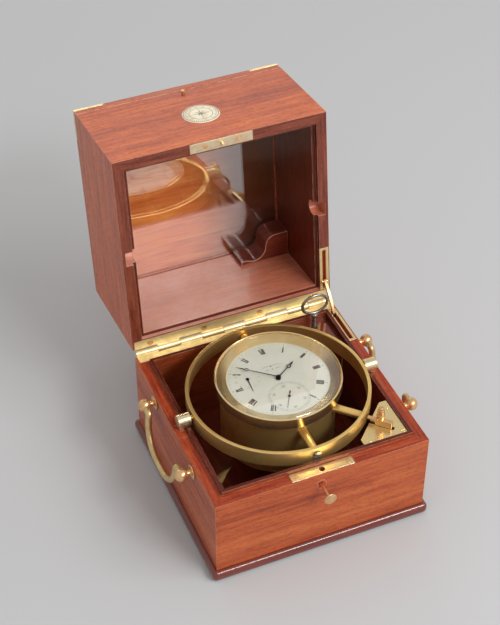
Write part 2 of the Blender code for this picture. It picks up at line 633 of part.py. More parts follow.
def build_key():
    """The winding key, standing in its corner block."""
    bow_r, wire, bow_z = 9.6, 1.2, 108.5
    steps = [(1.6, bow_z - bow_r + 0.3, 97.0), (2.9, 97.0, 94.8), (2.0, 94.8, 83.4), (2.6, 83.4, 53.0)]
    key = stacked("winding_key", steps, STEEL, 12, (KEY_X, KEY_Y, 0))
    bpy.ops.mesh.primitive_torus_add(
        major_segments=24,
        minor_segments=6,
        major_radius=bow_r * MM,
        minor_radius=wire * MM,
        location=(KEY_X * MM, KEY_Y * MM, bow_z * MM),
        rotation=(pi / 2, 0, 0),
    )
    bow = bpy.context.active_object
    bow.scale.x = BOW_WIDE
    fuse(key, bow)
    hang(pivot("key_axis", (KEY_X, KEY_Y, 0)), key)


# ------------------------------------------------------------ the dial and the movement
def hand(name, x, y, z, length, tail, wide, ring_at, ring_r, hub, angle, thick=0.35):
    """A hand as a bar with a ring near its tip; angle is clockwise from XII."""
    bar = block(name, (-wide, -tail, 0), (wide, length, thick), BLUED)
    eye = rod("eye", (0, ring_at, 0), (0, ring_at, thick), ring_r, BLUED, 14)
    disc = rod("hub", (0, 0, 0), (0, 0, thick), hub, BLUED, 14)
    fuse(bar, eye, disc)
    axis = pivot(name + "_axis", (x, y, z))
    for piece in (bar, eye, disc):
        piece.parent = axis
    return bar, axis, -radians(angle)


def wheel(name, at, steps, material=BRASS, sides=16):
    return stacked(name, steps, material, sides, (at[0], at[1], 0))


def build_movement(bowl_axis):
    x, y = UPDOWN_XY
    dial = rod("dial", (0, 0, DIAL_Z - DIAL_THICK), (0, 0, DIAL_Z), DIAL_R, SILVERED, 40)
    pillar_low = TOP_PLATE_Z + PLATE_H + GAP
    upper = rod("pillar_plate", (0, 0, PILLAR_PLATE_Z), (0, 0, PILLAR_PLATE_Z + PLATE_H), 43.5, BRASS, 32)
    lower = rod("top_plate", (0, 0, TOP_PLATE_Z), (0, 0, TOP_PLATE_Z + PLATE_H), 41.5, BRASS, 32)
    for px, py in ((PILLAR_RING, 0), (0, PILLAR_RING), (-PILLAR_RING, 0), (0, -PILLAR_RING)):
        fuse(upper, rod("pillar", (px, py, pillar_low), (px, py, PILLAR_PLATE_Z + 1), 2.8, sides=12))
    for target in (dial, upper):
        cut(target, cutting(rod, (0, 0, 90), (0, 0, 120), 2.5))
        cut(target, cutting(rod, (0, SECONDS_Y, 90), (0, SECONDS_Y, 120), 1.3, sides=12))
        cut(target, cutting(rod, (x, y, 90), (x, y, 120), 1.3, sides=12))
    cock = block("balance_cock", (-12, -34, 62.0), (-4, -4, 64.5))
    fuse(cock, block("foot", (-12, -34, 63.0), (-4, -27, TOP_PLATE_Z - GAP)))
    detent = block("detent", (-19.6, -33.0, 86.6), (-18.6, -10.0, 87.4), STEEL)
    fuse(detent, block("detent_foot", (-22.0, -33.5, 84.0), (-17.0, -30.0, 87.8), STEEL))
    hang(bowl_axis, dial, upper, lower, cock)
    hang(pivot("detent_axis", (-19.1, -31, 86), bowl_axis), detent)

    # Each arbor as (radius, top, bottom): its top pivot, pinion, wheel and lower pivot
    low, arbor_top = pillar_low, PILLAR_PLATE_Z - GAP
    steps = [(0.9, 108.9, 99.2), (12.5, 99.2, 98.0), (0.8, 97.6, 88.5), (1.8, 88.5, low)]
    centre = wheel("centre_wheel", CENTRE_XY, steps)
    steps = [(0.6, arbor_top, 99.7), (1.9, 99.7, 96.6), (13.6, 95.4, 94.4), (0.6, 94.4, low)]
    third = wheel("third_wheel", THIRD_XY, steps)
    steps = [(0.5, 107.2, 96), (1.7, 96, 92.0), (11.4, 91.2, 90.2), (0.6, 90.2, low)]
    fourth = wheel("fourth_wheel", SECONDS_XY, steps)
    steps = [(0.5, arbor_top, 92.0), (1.6, 92.0, 89.0), (7.0, 88.0, 87.0), (0.5, 87.0, low)]
    escape = wheel("escape_wheel", ESCAPE_XY, steps)
    steps = [(1.5, arbor_top, 98.0), (13.5, 97.0, 86.5), (1.5, 86.0, low)]
    barrel = wheel("spring_barrel", BARREL_XY, steps)
    fusee = wheel("fusee", FUSEE_XY, fusee_steps(arbor_top, low))
    steps = [(0.5, 80.2, 76.5), (2.4, 76.5, 75.7), (0.6, 75.7, 73.0), (16.0, 73.0, 71.2), (0.6, 71.2, 64.8)]
    balance = wheel("balance_wheel", BALANCE_XY, steps, BRASS, 20)
    moving = ((centre, CENTRE_XY), (third, THIRD_XY), (fourth, SECONDS_XY), (escape, ESCAPE_XY))
    moving += ((barrel, BARREL_XY), (fusee, FUSEE_XY), (balance, BALANCE_XY))
    for piece, (px, py) in moving:
        hang(pivot(piece.name + "_axis", (px, py, 90), bowl_axis), piece)
    build_hands(bowl_axis)


def fusee_steps(arbor_top, low):
    """The fusee's cone as a few steps over its great wheel."""
    count, top, foot = 4, 98.0, 87.2
    rise = (top - foot) / count
    steps = [(1.6, arbor_top, top)]
    for i in range(count):
        steps.append((7.5 + i * 2.0, top - i * rise, top - (i + 1) * rise))
    return steps + [(19.0, foot, foot - 1.4), (1.6, foot - 1.4, low)]


def build_hands(bowl_axis):
    x, y = UPDOWN_XY
    made = [
        hand("seconds_hand", 0, SECONDS_Y, 107.4, 13.5, 6.0, 0.25, 8.5, 0.8, 1.0, 210),
        hand("up_down_hand", x, y, 107.4, 14.5, 0.0, 0.35, 0.0, 0.9, 1.5, 184),
        hand("hour_hand", 0, 0, 108.1, 23.0, 0.0, 0.55, 16.0, 2.0, 2.2, 56),
        hand("minute_hand", 0, 0, 109.2, 36.0, 0.0, 0.45, 27.0, 1.7, 2.0, 310),
    ]
    for bar, axis, turn in made:
        axis.parent = bowl_axis
        axis.location -= home_of(bowl_axis)
        axis.rotation_euler.z = turn
    hour = made[2][0]
    cut(hour, cutting(rod, (0, 0, -2), (0, 0, 2), 1.3, sides=12))
    hour.modifiers[-1].object.parent = made[2][1]


def open_lid(tier_pieces, catch, top_pieces):
    """Hangs the lid's pieces on the main hinge and opens it."""
    lid_axis = pivot("lid_axis", (0, HINGE_Y, RIM_Z))
    top_axis = pivot("top_lid_axis", (0, TOP_HINGE_Y, JOINT_Z + GAP / 2), lid_axis)
    catch_axis = pivot("catch_axis", (0, -HALF_D, CATCH_Z), lid_axis)
    hang(lid_axis, *tier_pieces)
    hang(top_axis, *top_pieces)
    hang(catch_axis, catch)
    lid_axis.rotation_euler.x = -radians(LID_OPEN)


def main():
    walls = build_case()
    build_corner_blocks()
    build_bearings(walls)
    build_lock(walls)
    build_handles()
    tier, pane, bead = build_tier()
    fittings, catch = build_tier_fittings(tier)
    top_pieces = build_top_lid()
    upper_leaf = build_main_hinge(walls, tier)
    lower_top_leaf, upper_top_leaf = build_top_hinge()
    upper_stay = build_stay(walls, tier)
    tier_pieces = [tier, pane, bead, upper_leaf, lower_top_leaf, upper_stay] + fittings
    open_lid(tier_pieces, catch, top_pieces + [upper_top_leaf])
    ring_axis = build_ring()
    bowl_axis = pivot("bowl_axis", (0, 0, AXIS_Z), ring_axis)
    build_bowl(bowl_axis)
    build_movement(bowl_axis)
    build_gimbal_lock()
    build_key()


main()
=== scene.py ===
"""A two-day marine chronometer in its three-tier mahogany box, with the lid open.

Lengths are in millimetres times MM. X runs to the right, -Y is the front, +Z is up, and the origin
is the centre of the underside. What is added to the lid is made as if it were shut, then opened.
"""

import json
from math import cos, pi, radians, sin

import bmesh
import bpy
from mathutils import Matrix, Vector


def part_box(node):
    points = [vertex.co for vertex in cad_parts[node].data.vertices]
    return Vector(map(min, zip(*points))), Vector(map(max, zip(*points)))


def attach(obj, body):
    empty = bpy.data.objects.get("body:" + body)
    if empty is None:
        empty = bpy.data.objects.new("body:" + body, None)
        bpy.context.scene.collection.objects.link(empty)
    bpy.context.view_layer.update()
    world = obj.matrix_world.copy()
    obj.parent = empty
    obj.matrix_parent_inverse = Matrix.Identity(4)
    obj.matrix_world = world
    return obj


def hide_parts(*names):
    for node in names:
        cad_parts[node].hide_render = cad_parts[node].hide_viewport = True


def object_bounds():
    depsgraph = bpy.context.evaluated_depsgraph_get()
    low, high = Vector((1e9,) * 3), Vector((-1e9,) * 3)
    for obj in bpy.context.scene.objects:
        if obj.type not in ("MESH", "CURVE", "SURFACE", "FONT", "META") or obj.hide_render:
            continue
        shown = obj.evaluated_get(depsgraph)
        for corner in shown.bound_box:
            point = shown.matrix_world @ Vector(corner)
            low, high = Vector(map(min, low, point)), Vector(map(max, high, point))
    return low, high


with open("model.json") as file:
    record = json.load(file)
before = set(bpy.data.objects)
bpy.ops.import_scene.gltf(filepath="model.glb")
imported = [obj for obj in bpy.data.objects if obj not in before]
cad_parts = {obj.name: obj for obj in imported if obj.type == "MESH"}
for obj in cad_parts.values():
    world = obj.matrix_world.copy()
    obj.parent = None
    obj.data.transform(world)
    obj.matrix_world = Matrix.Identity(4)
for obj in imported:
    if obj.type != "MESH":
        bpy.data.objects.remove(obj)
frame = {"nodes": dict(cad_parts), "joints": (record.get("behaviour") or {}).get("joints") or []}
cad_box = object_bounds()
MM = 0.001
scene = bpy.context.scene

# ------------------------------------------------------------
# The stand and the light. The box stands on a pale floor, seen from above its left-hand front
# corner. Two soft lamps stand to its front right, and a weak, wide one behind it puts a gloss on
# what faces up. The pale room around it fills the shadows.
camera_data = bpy.data.cameras.new("camera")
camera_data.lens = 87.05
camera = bpy.data.objects.new("camera", camera_data)
camera.location = Vector((-365.1, -803.3, 960.0)) * MM
camera.rotation_euler = (radians(48.46), 0, radians(-22.95))
scene.collection.objects.link(camera)
scene.camera = camera
scene.view_settings.view_transform = "Standard"

for lamp_name, place, power, width, height in (
    ("window", (1.40, -1.10, 1.8), 15.0, 1.1, 0.9),
    ("front_lamp", (0.62, -1.45, 1.5), 18.0, 0.7, 0.4),
    ("back_lamp", (0.2, 2.4, 1.3), 6.0, 1.8, 0.8),
):
    lamp_data = bpy.data.lights.new(lamp_name, "AREA")
    lamp_data.shape = "RECTANGLE"
    lamp_data.energy, lamp_data.size, lamp_data.size_y = power, width, height
    lamp = bpy.data.objects.new(lamp_name, lamp_data)
    lamp.location = place
    lamp.rotation_euler = (Vector((0, 0.05, 0.1)) - lamp.location).to_track_quat("-Z", "Y").to_euler()
    scene.collection.objects.link(lamp)

world = bpy.data.worlds.new("room")
world.use_nodes = True
room_light = world.node_tree.nodes["Background"].inputs
room_light["Color"].default_value = (0.86, 0.835, 0.81, 1)
room_light["Strength"].default_value = 0.72
scene.world = world

floor_mesh = bpy.data.meshes.new("floor")
floor_bm = bmesh.new()
bmesh.ops.create_grid(floor_bm, x_segments=1, y_segments=1, size=5.0)
bmesh.ops.translate(floor_bm, vec=(0, 0, cad_box[0][2] - 0.0002), verts=floor_bm.verts)
floor_bm.to_mesh(floor_mesh)
floor_bm.free()
floor_paint = bpy.data.materials.new("floor_paint")
floor_paint.use_nodes = True
paint = floor_paint.node_tree.nodes["Principled BSDF"].inputs
paint["Base Color"].default_value = (0.54, 0.55, 0.562, 1)
paint["Roughness"].default_value = 0.8
floor_mesh.materials.append(floor_paint)
floor = bpy.data.objects.new("floor", floor_mesh)
scene.collection.objects.link(floor)


# ------------------------------------------------------------
# The lower case. Four mahogany boards, French polished and long handled, meet at mitred corners
# round a thin dust lip that the lid drops over. The moulded base board is glued on below.
class Wire:
    """A shader value. Arithmetic on it adds Math nodes, and node() adds any other kind."""

    def __init__(self, tree, socket=None):
        self.tree = tree
        self.socket = socket

    def node(self, kind, settings=(), values=(), output=0):
        """A node with its settings put in first, then its inputs; gives one of its outputs."""
        made = self.tree.nodes.new("ShaderNode" + kind)
        for name, value in dict(settings).items():
            if name != "stops":
                setattr(made, name, value)
                continue
            ramp = made.color_ramp.elements
            for stop, (position, colour) in ((0, value[0]), (1, value[-1])):
                ramp[stop].position, ramp[stop].color = position, (*colour, 1)
            for position, colour in value[1:-1]:
                ramp.new(position).color = (*colour, 1)
        for name, value in dict(values).items():
            if isinstance(value, Wire):
                self.tree.links.new(value.socket, made.inputs[name])
            else:
                made.inputs[name].default_value = value
        return Wire(self.tree, made.outputs[output])

    def math(self, operation, *values):
        return self.node("Math", {"operation": operation}, enumerate(values))

    def __add__(self, other):
        return self.math("ADD", self, other)

    def __sub__(self, other):
        return self.math("SUBTRACT", self, other)

    def __rsub__(self, other):
        return self.math("SUBTRACT", other, self)

    def __mul__(self, other):
        return self.math("MULTIPLY", self, other)

    def __pow__(self, other):
        return self.math("POWER", self, other)

    def __gt__(self, other):
        return self.math("GREATER_THAN", self, other)

    def __abs__(self):
        return self.math("ABSOLUTE", self)

    __radd__ = __add__
    __rmul__ = __mul__

    def axes(self):
        return [self.node("SeparateXYZ", (), {0: self}, axis) for axis in "XYZ"]

    def point(self, x, y, z):
        return self.node("CombineXYZ", (), enumerate((x, y, z)))

    def noise(self, scale, detail=2.0, rough=0.5, twist=0.0):
        values = {"Vector": self, "Scale": scale, "Detail": detail, "Roughness": rough, "Distortion": twist}
        return self.node("TexNoise", (), values)

    def between(self, low, high):
        """0 below low, 1 above high, and smooth between them."""
        settings = {"interpolation_type": "SMOOTHSTEP"}
        return self.node("MapRange", settings, {"Value": self, "From Min": low, "From Max": high})

    def colours(self, *stops):
        return self.node("ValToRGB", {"stops": stops}, {0: self})

    def mix(self, low, high):
        """From one colour to another as this value goes from 0 to 1."""
        low, high = (c if isinstance(c, Wire) else (*c, 1) for c in (low, high))
        return self.node("Mix", {"data_type": "RGBA"}, {0: self, 6: low, 7: high}, 2)

    def mark(self, name):
        """A number that the mesh itself holds on its faces."""
        return self.node("Attribute", {"attribute_name": name}, (), "Fac")

    def bump(self, depth, strength=1.0):
        return self.node("Bump", (), {"Height": self, "Distance": depth, "Strength": strength})


def finish(name, looks, *values, **options):
    """A material whose shader takes what looks() gives for a place: plain values, or links."""
    material = bpy.data.materials.new(name)
    material.use_nodes = True
    tree = material.node_tree
    shader = tree.nodes["Principled BSDF"]
    place = Wire(tree).node("TexCoord", output="Object")
    for socket, value in looks(place, *values, **options).items():
        if isinstance(value, Wire):
            tree.links.new(value.socket, shader.inputs[socket])
        else:
            shader.inputs[socket].default_value = value
    return material


BOARD_END = 1.5 * MM  # the case is this much wider than deep, on each side
DARK_WOOD = (0.26, 0.040, 0.014)
RED_WOOD = (0.43, 0.076, 0.020)
WARM_WOOD = (0.54, 0.118, 0.032)
ORANGE_WOOD = (0.64, 0.178, 0.050)
WOOD = ((0.32, DARK_WOOD), (0.44, RED_WOOD), (0.56, WARM_WOOD), (0.72, ORANGE_WOOD))
RIM_WOOD = ((0.34, (0.17, 0.016, 0.007)), (0.50, (0.34, 0.045, 0.014)), (0.68, (0.50, 0.10, 0.03)))
# Painted shade for the box's inner walls, which also darkens the dust lip.
INSIDE_SHADE_WOOD = ((0.36, (0.035, 0.003, 0.002)), (0.64, (0.11, 0.010, 0.005)))
# Painted light for the top lid's underside, in brighter tones of its wood.
LIT_UNDERSIDE_WOOD = ((0.34, (0.55, 0.105, 0.026)), (0.50, (0.92, 0.27, 0.07)), (0.68, (1.0, 0.44, 0.14)))
STAINED_WOOD = ((0.32, (0.085, 0.010, 0.006)), (0.50, (0.17, 0.022, 0.010)), (0.70, (0.27, 0.05, 0.02)))


def mahogany_looks(place, mitred=True, boards=WOOD, rims=RIM_WOOD, coat=0.12, coat_rough=0.10):
    """Polished mahogany with its grain along each board."""
    x, y, z = place.axes()
    side = (abs(x) - abs(y) > BOARD_END) * float(mitred)
    along = x + (y - x) * side
    across = y + (x - y) * side
    board = side * 0.31 + (across > 0) * 0.17
    fibre = place.point(along * 0.07 + board, across, z)
    streak = fibre.noise(330, 4, 0.62, 0.5)
    wood = fibre.noise(34, 3, 0.5, 1.2) * 0.42 + streak * 0.58
    colour = wood.colours(*boards)
    pore = place.point(along * 0.10, across, z).noise(2600, 1, 0.5)
    pore_mask = pore.between(0.57, 0.67)
    colour = (pore_mask * 0.55).mix(colour, (0.06, 0.012, 0.007))
    mottle = place.noise(420, 3, 0.6)
    rim_colour = (mottle * 0.25 + streak * 0.75).colours(*rims)
    specks = place.noise(900, 2, 0.7).between(0.66, 0.74)
    rim_colour = (specks * 0.4).mix(rim_colour, (0.10, 0.02, 0.012))
    rim = place.mark("rim")
    colour = rim.mix(colour, rim_colour)
    # Painted shade on the inner walls and the dust lip, only half as strong on the case's lit back wall.
    colour = (place.mark("inside") * 0.93).mix(colour, streak.colours(*INSIDE_SHADE_WOOD))
    # The top lid's underside gets painted light, and it and the lid's open back wall give way to painted
    # shadow towards the right, where the lid's right wall shades them.
    shaded = x.between(-4 * MM, 52 * MM)
    fresh = (shaded * 0.9).mix(wood.colours(*LIT_UNDERSIDE_WOOD), (0.085, 0.016, 0.007))
    colour = place.mark("fresh").mix(colour, fresh)
    # Painted light and sheen, pale and patchy, on the lid's open back wall and the notches in its sides.
    sheen_amount = (place.noise(28, 4, 0.6).between(0.20, 0.75) * 0.35 + 0.45) * (1 - shaded * 0.62)
    colour = (place.mark("bloom") * sheen_amount).mix(colour, (0.74, 0.41, 0.32))
    # Paler rounded edges on the wood: partly real wear, partly a painted highlight along the edges.
    wear_and_highlight = place.mark("edge") * place.noise(160, 4, 0.7).between(0.34, 0.56)
    colour = (wear_and_highlight * 0.68).mix(colour, (0.78, 0.46, 0.31))
    smear = place.noise(45, 4, 0.6)
    return {
        "Base Color": colour,
        "Roughness": smear * 0.16 + pore_mask * 0.12 + 0.24,
        "IOR": 1.35,
        "Coat Weight": coat,
        "Coat Roughness": coat_rough,
        "Normal": (streak * 0.5 - pore_mask * 0.5).bump(0.00006, 0.6),
    }


mahogany = finish("mahogany", mahogany_looks)


def rounded(bm, width, sharp=25.0, segments=2):
    """Rounds a shape's sharp edges and marks the new faces as edges, for wear and, on the wood, a painted
    highlight.
    """
    edge = bm.faces.layers.float.get("edge") or bm.faces.layers.float.new("edge")
    edges = [e for e in bm.edges if len(e.link_faces) == 2 and e.calc_face_angle() > radians(sharp)]
    made = bmesh.ops.bevel(
        bm, geom=edges, offset=width * MM, segments=segments, profile=0.5, affect="EDGES",
        clamp_overlap=True, material=-1,
    )
    for face in made["faces"]:
        face[edge] = 1.0
    return bm


def softened(node, width=0.45, sharp=25.0, segments=2):
    """A copy of a CAD node as clean faces with rounded edges."""
    bm = bmesh.new()
    bm.from_mesh(frame["nodes"][node].data)
    bmesh.ops.remove_doubles(bm, verts=bm.verts, dist=0.001 * MM)
    bmesh.ops.dissolve_limit(bm, angle_limit=radians(0.5), verts=bm.verts, edges=bm.edges)
    return rounded(bm, width, sharp, segments)


def piece(name, bm, material, body, slot, *nodes, smooth=32.0):
    """Makes a finished piece of a bmesh, which rides on a body and stands for CAD nodes."""
    mesh = bpy.data.meshes.new(name)
    bm.to_mesh(mesh)
    bm.free()
    mesh.materials.append(material)
    mesh.shade_smooth()
    mesh.set_sharp_from_angle(angle=radians(smooth))
    obj = bpy.data.objects.new(name, mesh)
    scene.collection.objects.link(obj)
    flats = obj.modifiers.new("Flats", "WEIGHTED_NORMAL")
    flats.keep_sharp = True
    bpy.context.view_layer.update()
    obj.data = bpy.data.meshes.new_from_object(obj.evaluated_get(bpy.context.evaluated_depsgraph_get()))
    obj.modifiers.remove(flats)
    obj.data.name = name
    bpy.data.meshes.remove(mesh)
    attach(obj, body)
    if nodes:
        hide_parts(*nodes)
    return obj


def refined(node, material, body, slot, width=0.45, sharp=25.0, segments=2):
    """A piece of a CAD node's own name and shape, with its edges rounded."""
    return piece(node, softened(node, width, sharp, segments), material, body, slot, node)


LIP_X, LIP_Y = 83.0 * MM, 81.5 * MM
WALL_X, NOTCH = 91.9 * MM, 7.5 * MM


def mark_walls(bm, up, height, turn=Matrix()):
    """Marks a box's rims, which look up (1) or down (-1) at a height, and its inside, dust lip and all.

    The inside gets painted shade. The lid's back wall, which lies open to the light, gets painted light and
    sheen instead, and so do the notches in its sides. The case's back wall, which the light reaches, gets
    only half the painted shade.
    """
    rim = bm.faces.layers.float.new("rim")
    inside = bm.faces.layers.float.new("inside")
    bloom = bm.faces.layers.float.new("bloom")
    for face in bm.faces:
        normal = turn.to_3x3() @ face.normal
        corners = [turn @ vert.co for vert in face.verts]
        if all(abs(corner.x) < LIP_X and abs(corner.y) < LIP_Y for corner in corners):
            back = normal.y < -0.9
            face[bloom if up < 0 and back else inside] = 0.55 if back and up > 0 else 1.0
        elif up * normal.z > 0.7 and abs(corners[0].z - height) < 2 * MM:
            face[rim] = 1.0
        elif all(abs(corner.y) < NOTCH and LIP_X - 5 * MM < abs(corner.x) < WALL_X for corner in corners):
            face[bloom] = 1.0
    return bm


RIM_Z = 85.0 * MM
case_walls = mark_walls(softened("lower_case_walls", 0.5), 1, RIM_Z)
piece("case_walls", case_walls, mahogany, "case", "mahogany", "lower_case_walls")


def box(bm, low, high, edge, segments=2):
    """A box between two corners in metres, with its edges rounded."""
    low, high = Vector(low), Vector(high)
    part = bmesh.new()
    bmesh.ops.create_cube(part, size=1.0)
    bmesh.ops.scale(part, vec=high - low, verts=part.verts)
    bmesh.ops.translate(part, vec=(low + high) / 2, verts=part.verts)
    rounded(part, edge, segments=segments)
    return added(bm, part)


def added(bm, part, turn=Matrix()):
    """Moves one bmesh into another."""
    part.transform(turn)
    if turn.determinant() < 0:
        bmesh.ops.reverse_faces(part, faces=part.faces)
    for layer in part.faces.layers.float.keys():
        if layer not in bm.faces.layers.float.keys():
            bm.faces.layers.float.new(layer)
    mesh = bpy.data.meshes.new("part")
    part.to_mesh(mesh)
    part.free()
    bm.from_mesh(mesh)
    bpy.data.meshes.remove(mesh)
    return bm


stained = finish("stained_mahogany", mahogany_looks, boards=STAINED_WOOD, coat=1.0, coat_rough=0.05)
board_low, board_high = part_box("bottom_board")
board = box(bmesh.new(), board_low, board_high, edge=3.9, segments=6)
# The base board's rounded edges get neither wear nor painted highlight.
wear_and_highlight_layer = board.faces.layers.float["edge"]
for face in board.faces:
    face[wear_and_highlight_layer] = 0.0
piece("base_board", board, stained, "case", "mahogany", "bottom_board")

refined("front_corner_block", stained, "case", "mahogany")
refined("key_corner_block", stained, "case", "mahogany", 0.6)


# ------------------------------------------------------------
# The lid's middle tier, glazed at its top so that the dial can be read with only the top lid up.
# Its boards match the case's; its rims are rubbed and speckled where they meet the lower case.
hinge = next(joint for joint in frame["joints"] if joint["name"] == "lid_hinge")
HINGE_AT = Vector(hinge["pos_m"])
LID_OPEN = radians(hinge["range_deg"][1])
to_hinge = Matrix.Translation(HINGE_AT)
opened = to_hinge @ Matrix.Rotation(-LID_OPEN, 4, "X") @ to_hinge.inverted()
shut = opened.inverted()


def lid_looks(place, **options):
    """Mahogany whose grain lies as on the shut lid."""
    values = {"Vector": place, "Location": shut.translation, "Rotation": (LID_OPEN, 0, 0)}
    return mahogany_looks(place.node("Mapping", (), values), **options)


LID_WOOD = (
    (0.32, (0.27, 0.036, 0.008)),
    (0.44, (0.46, 0.075, 0.012)),
    (0.56, (0.61, 0.112, 0.016)),
    (0.72, (0.78, 0.205, 0.030)),
)
LID_RIM_WOOD = ((0.34, (0.10, 0.018, 0.010)), (0.50, (0.19, 0.042, 0.022)), (0.68, (0.30, 0.075, 0.038)))
lid_mahogany = finish("lid_mahogany", lid_looks, boards=LID_WOOD, rims=LID_RIM_WOOD)
lid_walls = mark_walls(softened("middle_tier_walls", 0.5), -1, RIM_Z, shut)
piece("middle_tier_walls", lid_walls, lid_mahogany, "lid", "mahogany", "middle_tier_walls")
refined("glass_bead", lid_mahogany, "lid", "mahogany", 0.5)
bracket_wood = finish("bracket_mahogany", lid_looks, mitred=False, boards=STAINED_WOOD)
refined("key_bracket", bracket_wood, "lid", "mahogany", 0.6)


def clear_glass(name, tint, mirror):
    """Flat glass that lets light straight through and mirrors a share of it."""
    material = bpy.data.materials.new(name)
    material.use_nodes = True
    tree = material.node_tree
    shader = tree.nodes["Principled BSDF"]
    for socket, value in (("Base Color", (1, 1, 1, 1)), ("Metallic", 1.0), ("Roughness", 0.015)):
        shader.inputs[socket].default_value = value
    clear = Wire(tree).node("BsdfTransparent", (), {"Color": (*tint, 1)})
    slant = Wire(tree).node("LayerWeight", (), {"Blend": 0.5}, "Facing")
    share = (slant ** 5 * 0.96 + 0.04) * mirror
    both = Wire(tree).node("MixShader", (), {0: share, 1: clear, 2: Wire(tree, shader.outputs[0])})
    tree.links.new(both.socket, tree.nodes["Material Output"].inputs["Surface"])
    return material


box_glass = clear_glass("box_glass", (0.99, 0.99, 0.985), 4.0)
refined("glass_pane", box_glass, "lid", "box_glass", 0.3)


# ------------------------------------------------------------
# The top lid, a flat mahogany board whose underside carries painted light that gives way to painted shadow
# towards the right. Brass straps are let into its two front corners. They and most other fittings are rolled
# brass, polished, then handled.
BRIGHT_BRASS, DULL_BRASS = (0.86, 0.66, 0.34), (0.60, 0.41, 0.17)


def brass_looks(place, bright=BRIGHT_BRASS, dull=DULL_BRASS, rough=0.32, blotches=55.0, wear=1.0):
    """Polished brass that has dulled in patches, with fine scratches and bright edges."""
    patches = place.noise(blotches, 4, 0.62, 0.4).between(0.42, 0.66)
    stains = place.noise(620, 3, 0.6).between(0.60, 0.74)
    scratches = place.point(*[axis * w for axis, w in zip(place.axes(), (1, 0.06, 1))]).noise(5200, 2)
    edge = place.mark("edge")
    colour = (patches * 0.5).mix(bright, dull)
    colour = (stains * 0.35 * wear).mix(colour, (0.30, 0.17, 0.07))
    colour = (edge * 0.5).mix(colour, (0.96, 0.80, 0.50))
    return {
        "Base Color": colour,
        "Metallic": 0.9,
        "Roughness": patches * 0.13 + stains * 0.10 * wear + rough - edge * 0.08,
        "Normal": scratches.bump(0.00001, 0.4 * wear),
    }


brass = finish("fittings_brass", brass_looks)
top_mahogany = finish("top_mahogany", lid_looks, mitred=False)
top_board = softened("top_lid", 0.6)
# The faces that look down on the shut top lid get the painted light and painted shadow.
fresh = top_board.faces.layers.float.new("fresh")
for face in top_board.faces:
    face[fresh] = float((shut.to_3x3() @ face.normal).z < -0.7)
piece("top_lid_board", top_board, top_mahogany, "top_lid", "mahogany", "top_lid")

UP, DOWN, FORWARD = (0, 0, 1), (0, 0, -1), (0, -1, 0)


def facing(at, way):
    """The matrix that puts a piece made about Z at a point, with its top facing some way."""
    return Matrix.Translation(Vector(at)) @ Vector(way).to_track_quat("Z", "Y").to_matrix().to_4x4()


def shift(bm, made, way):
    """Moves the points among what an operator has made."""
    bmesh.ops.translate(bm, vec=way, verts=[item for item in made if isinstance(item, bmesh.types.BMVert)])


def extruded(bm, faces, way):
    """Extrudes faces some way, and gives the faces at the far end."""
    grown = bmesh.ops.extrude_face_region(bm, geom=faces)["geom"]
    shift(bm, grown, way)
    return [item for item in grown if isinstance(item, bmesh.types.BMFace)]


def slotted(bm, at, way, radius, turn, height, sides=20):
    """Adds a screw head with a sawn slot, standing at a point and facing some way."""
    part = bmesh.new()
    slot, deep = radius * 0.17 * MM, height * 0.7 * MM
    bmesh.ops.create_circle(part, cap_ends=True, radius=radius * MM, segments=sides)
    for side in (-1, 1):
        geometry = part.verts[:] + part.edges[:] + part.faces[:]
        bmesh.ops.bisect_plane(part, geom=geometry, plane_co=(side * slot, 0, 0), plane_no=(1, 0, 0))
    top = extruded(part, part.faces[:], (0, 0, height * MM - deep))
    extruded(part, [face for face in top if abs(face.calc_center_median().x) > slot], (0, 0, deep))
    bmesh.ops.recalc_face_normals(part, faces=part.faces)
    return added(bm, part, facing(at, way) @ Matrix.Rotation(radians(turn), 4, "Z"))


def screws(name, spots, way, radius, height, material, body, slot, turn=Matrix(), sides=20):
    """One piece of several screw heads. Each spot is a point in metres and the slot's angle."""
    heads = bmesh.new()
    for at, angle in spots:
        slotted(heads, at, way, radius, angle, height, sides)
    heads.transform(turn)
    piece(name, heads, material, body, slot)


TOP_Z = 186.0 * MM
FRONT_Y = -90.5 * MM
STRAP_SCREWS = ((88.4, -87.0, 20), (70.0, -87.0, 75), (88.4, -69.0, -40))
for name, side in (("left", -1), ("right", 1)):
    refined(f"corner_strap_{name}", brass, "top_lid", "fittings_brass", 0.25)
    spots = [((side * x * MM, y * MM, TOP_Z), turn) for x, y, turn in STRAP_SCREWS]
    screws(f"strap_screws_{name}", spots, UP, 1.6, 0.25, brass, "top_lid", "fittings_brass", opened)


# ------------------------------------------------------------
# The lock. A brass plate let into the front rim takes the staple of the strike plate in the lid;
# each plate is held by two countersunk screws. A push button through the front frees the staple.
copper = finish("coppery_brass", brass_looks, (0.84, 0.53, 0.27), (0.52, 0.28, 0.11), 0.26, 140.0)
refined("lock_plate", brass, "case", "fittings_brass", 0.25)
plate_low, plate_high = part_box("lock_plate")
plate_y = (plate_low.y + plate_high.y) / 2
LOCK_SCREWS = ((-22.5, 35), (22.5, 110))
spots = [((x * MM, plate_y, plate_high.z), turn) for x, turn in LOCK_SCREWS]
screws("lock_plate_screws", spots, UP, 2.2, 0.25, copper, "case", "fittings_brass")

worn_brass = finish("worn_brass", brass_looks, (0.80, 0.63, 0.42), (0.64, 0.43, 0.27), 0.34, 160.0)
refined("strike_plate", worn_brass, "lid", "fittings_brass", 0.25)
STRIKE_Z = 85.3 * MM
STRIKE_SCREWS = ((-14, 15), (15, 80))
spots = [((x * MM, plate_y, STRIKE_Z), turn) for x, turn in STRIKE_SCREWS]
screws("strike_plate_screws", spots, DOWN, 2.3, 0.2, copper, "lid", "coppery_brass", opened)


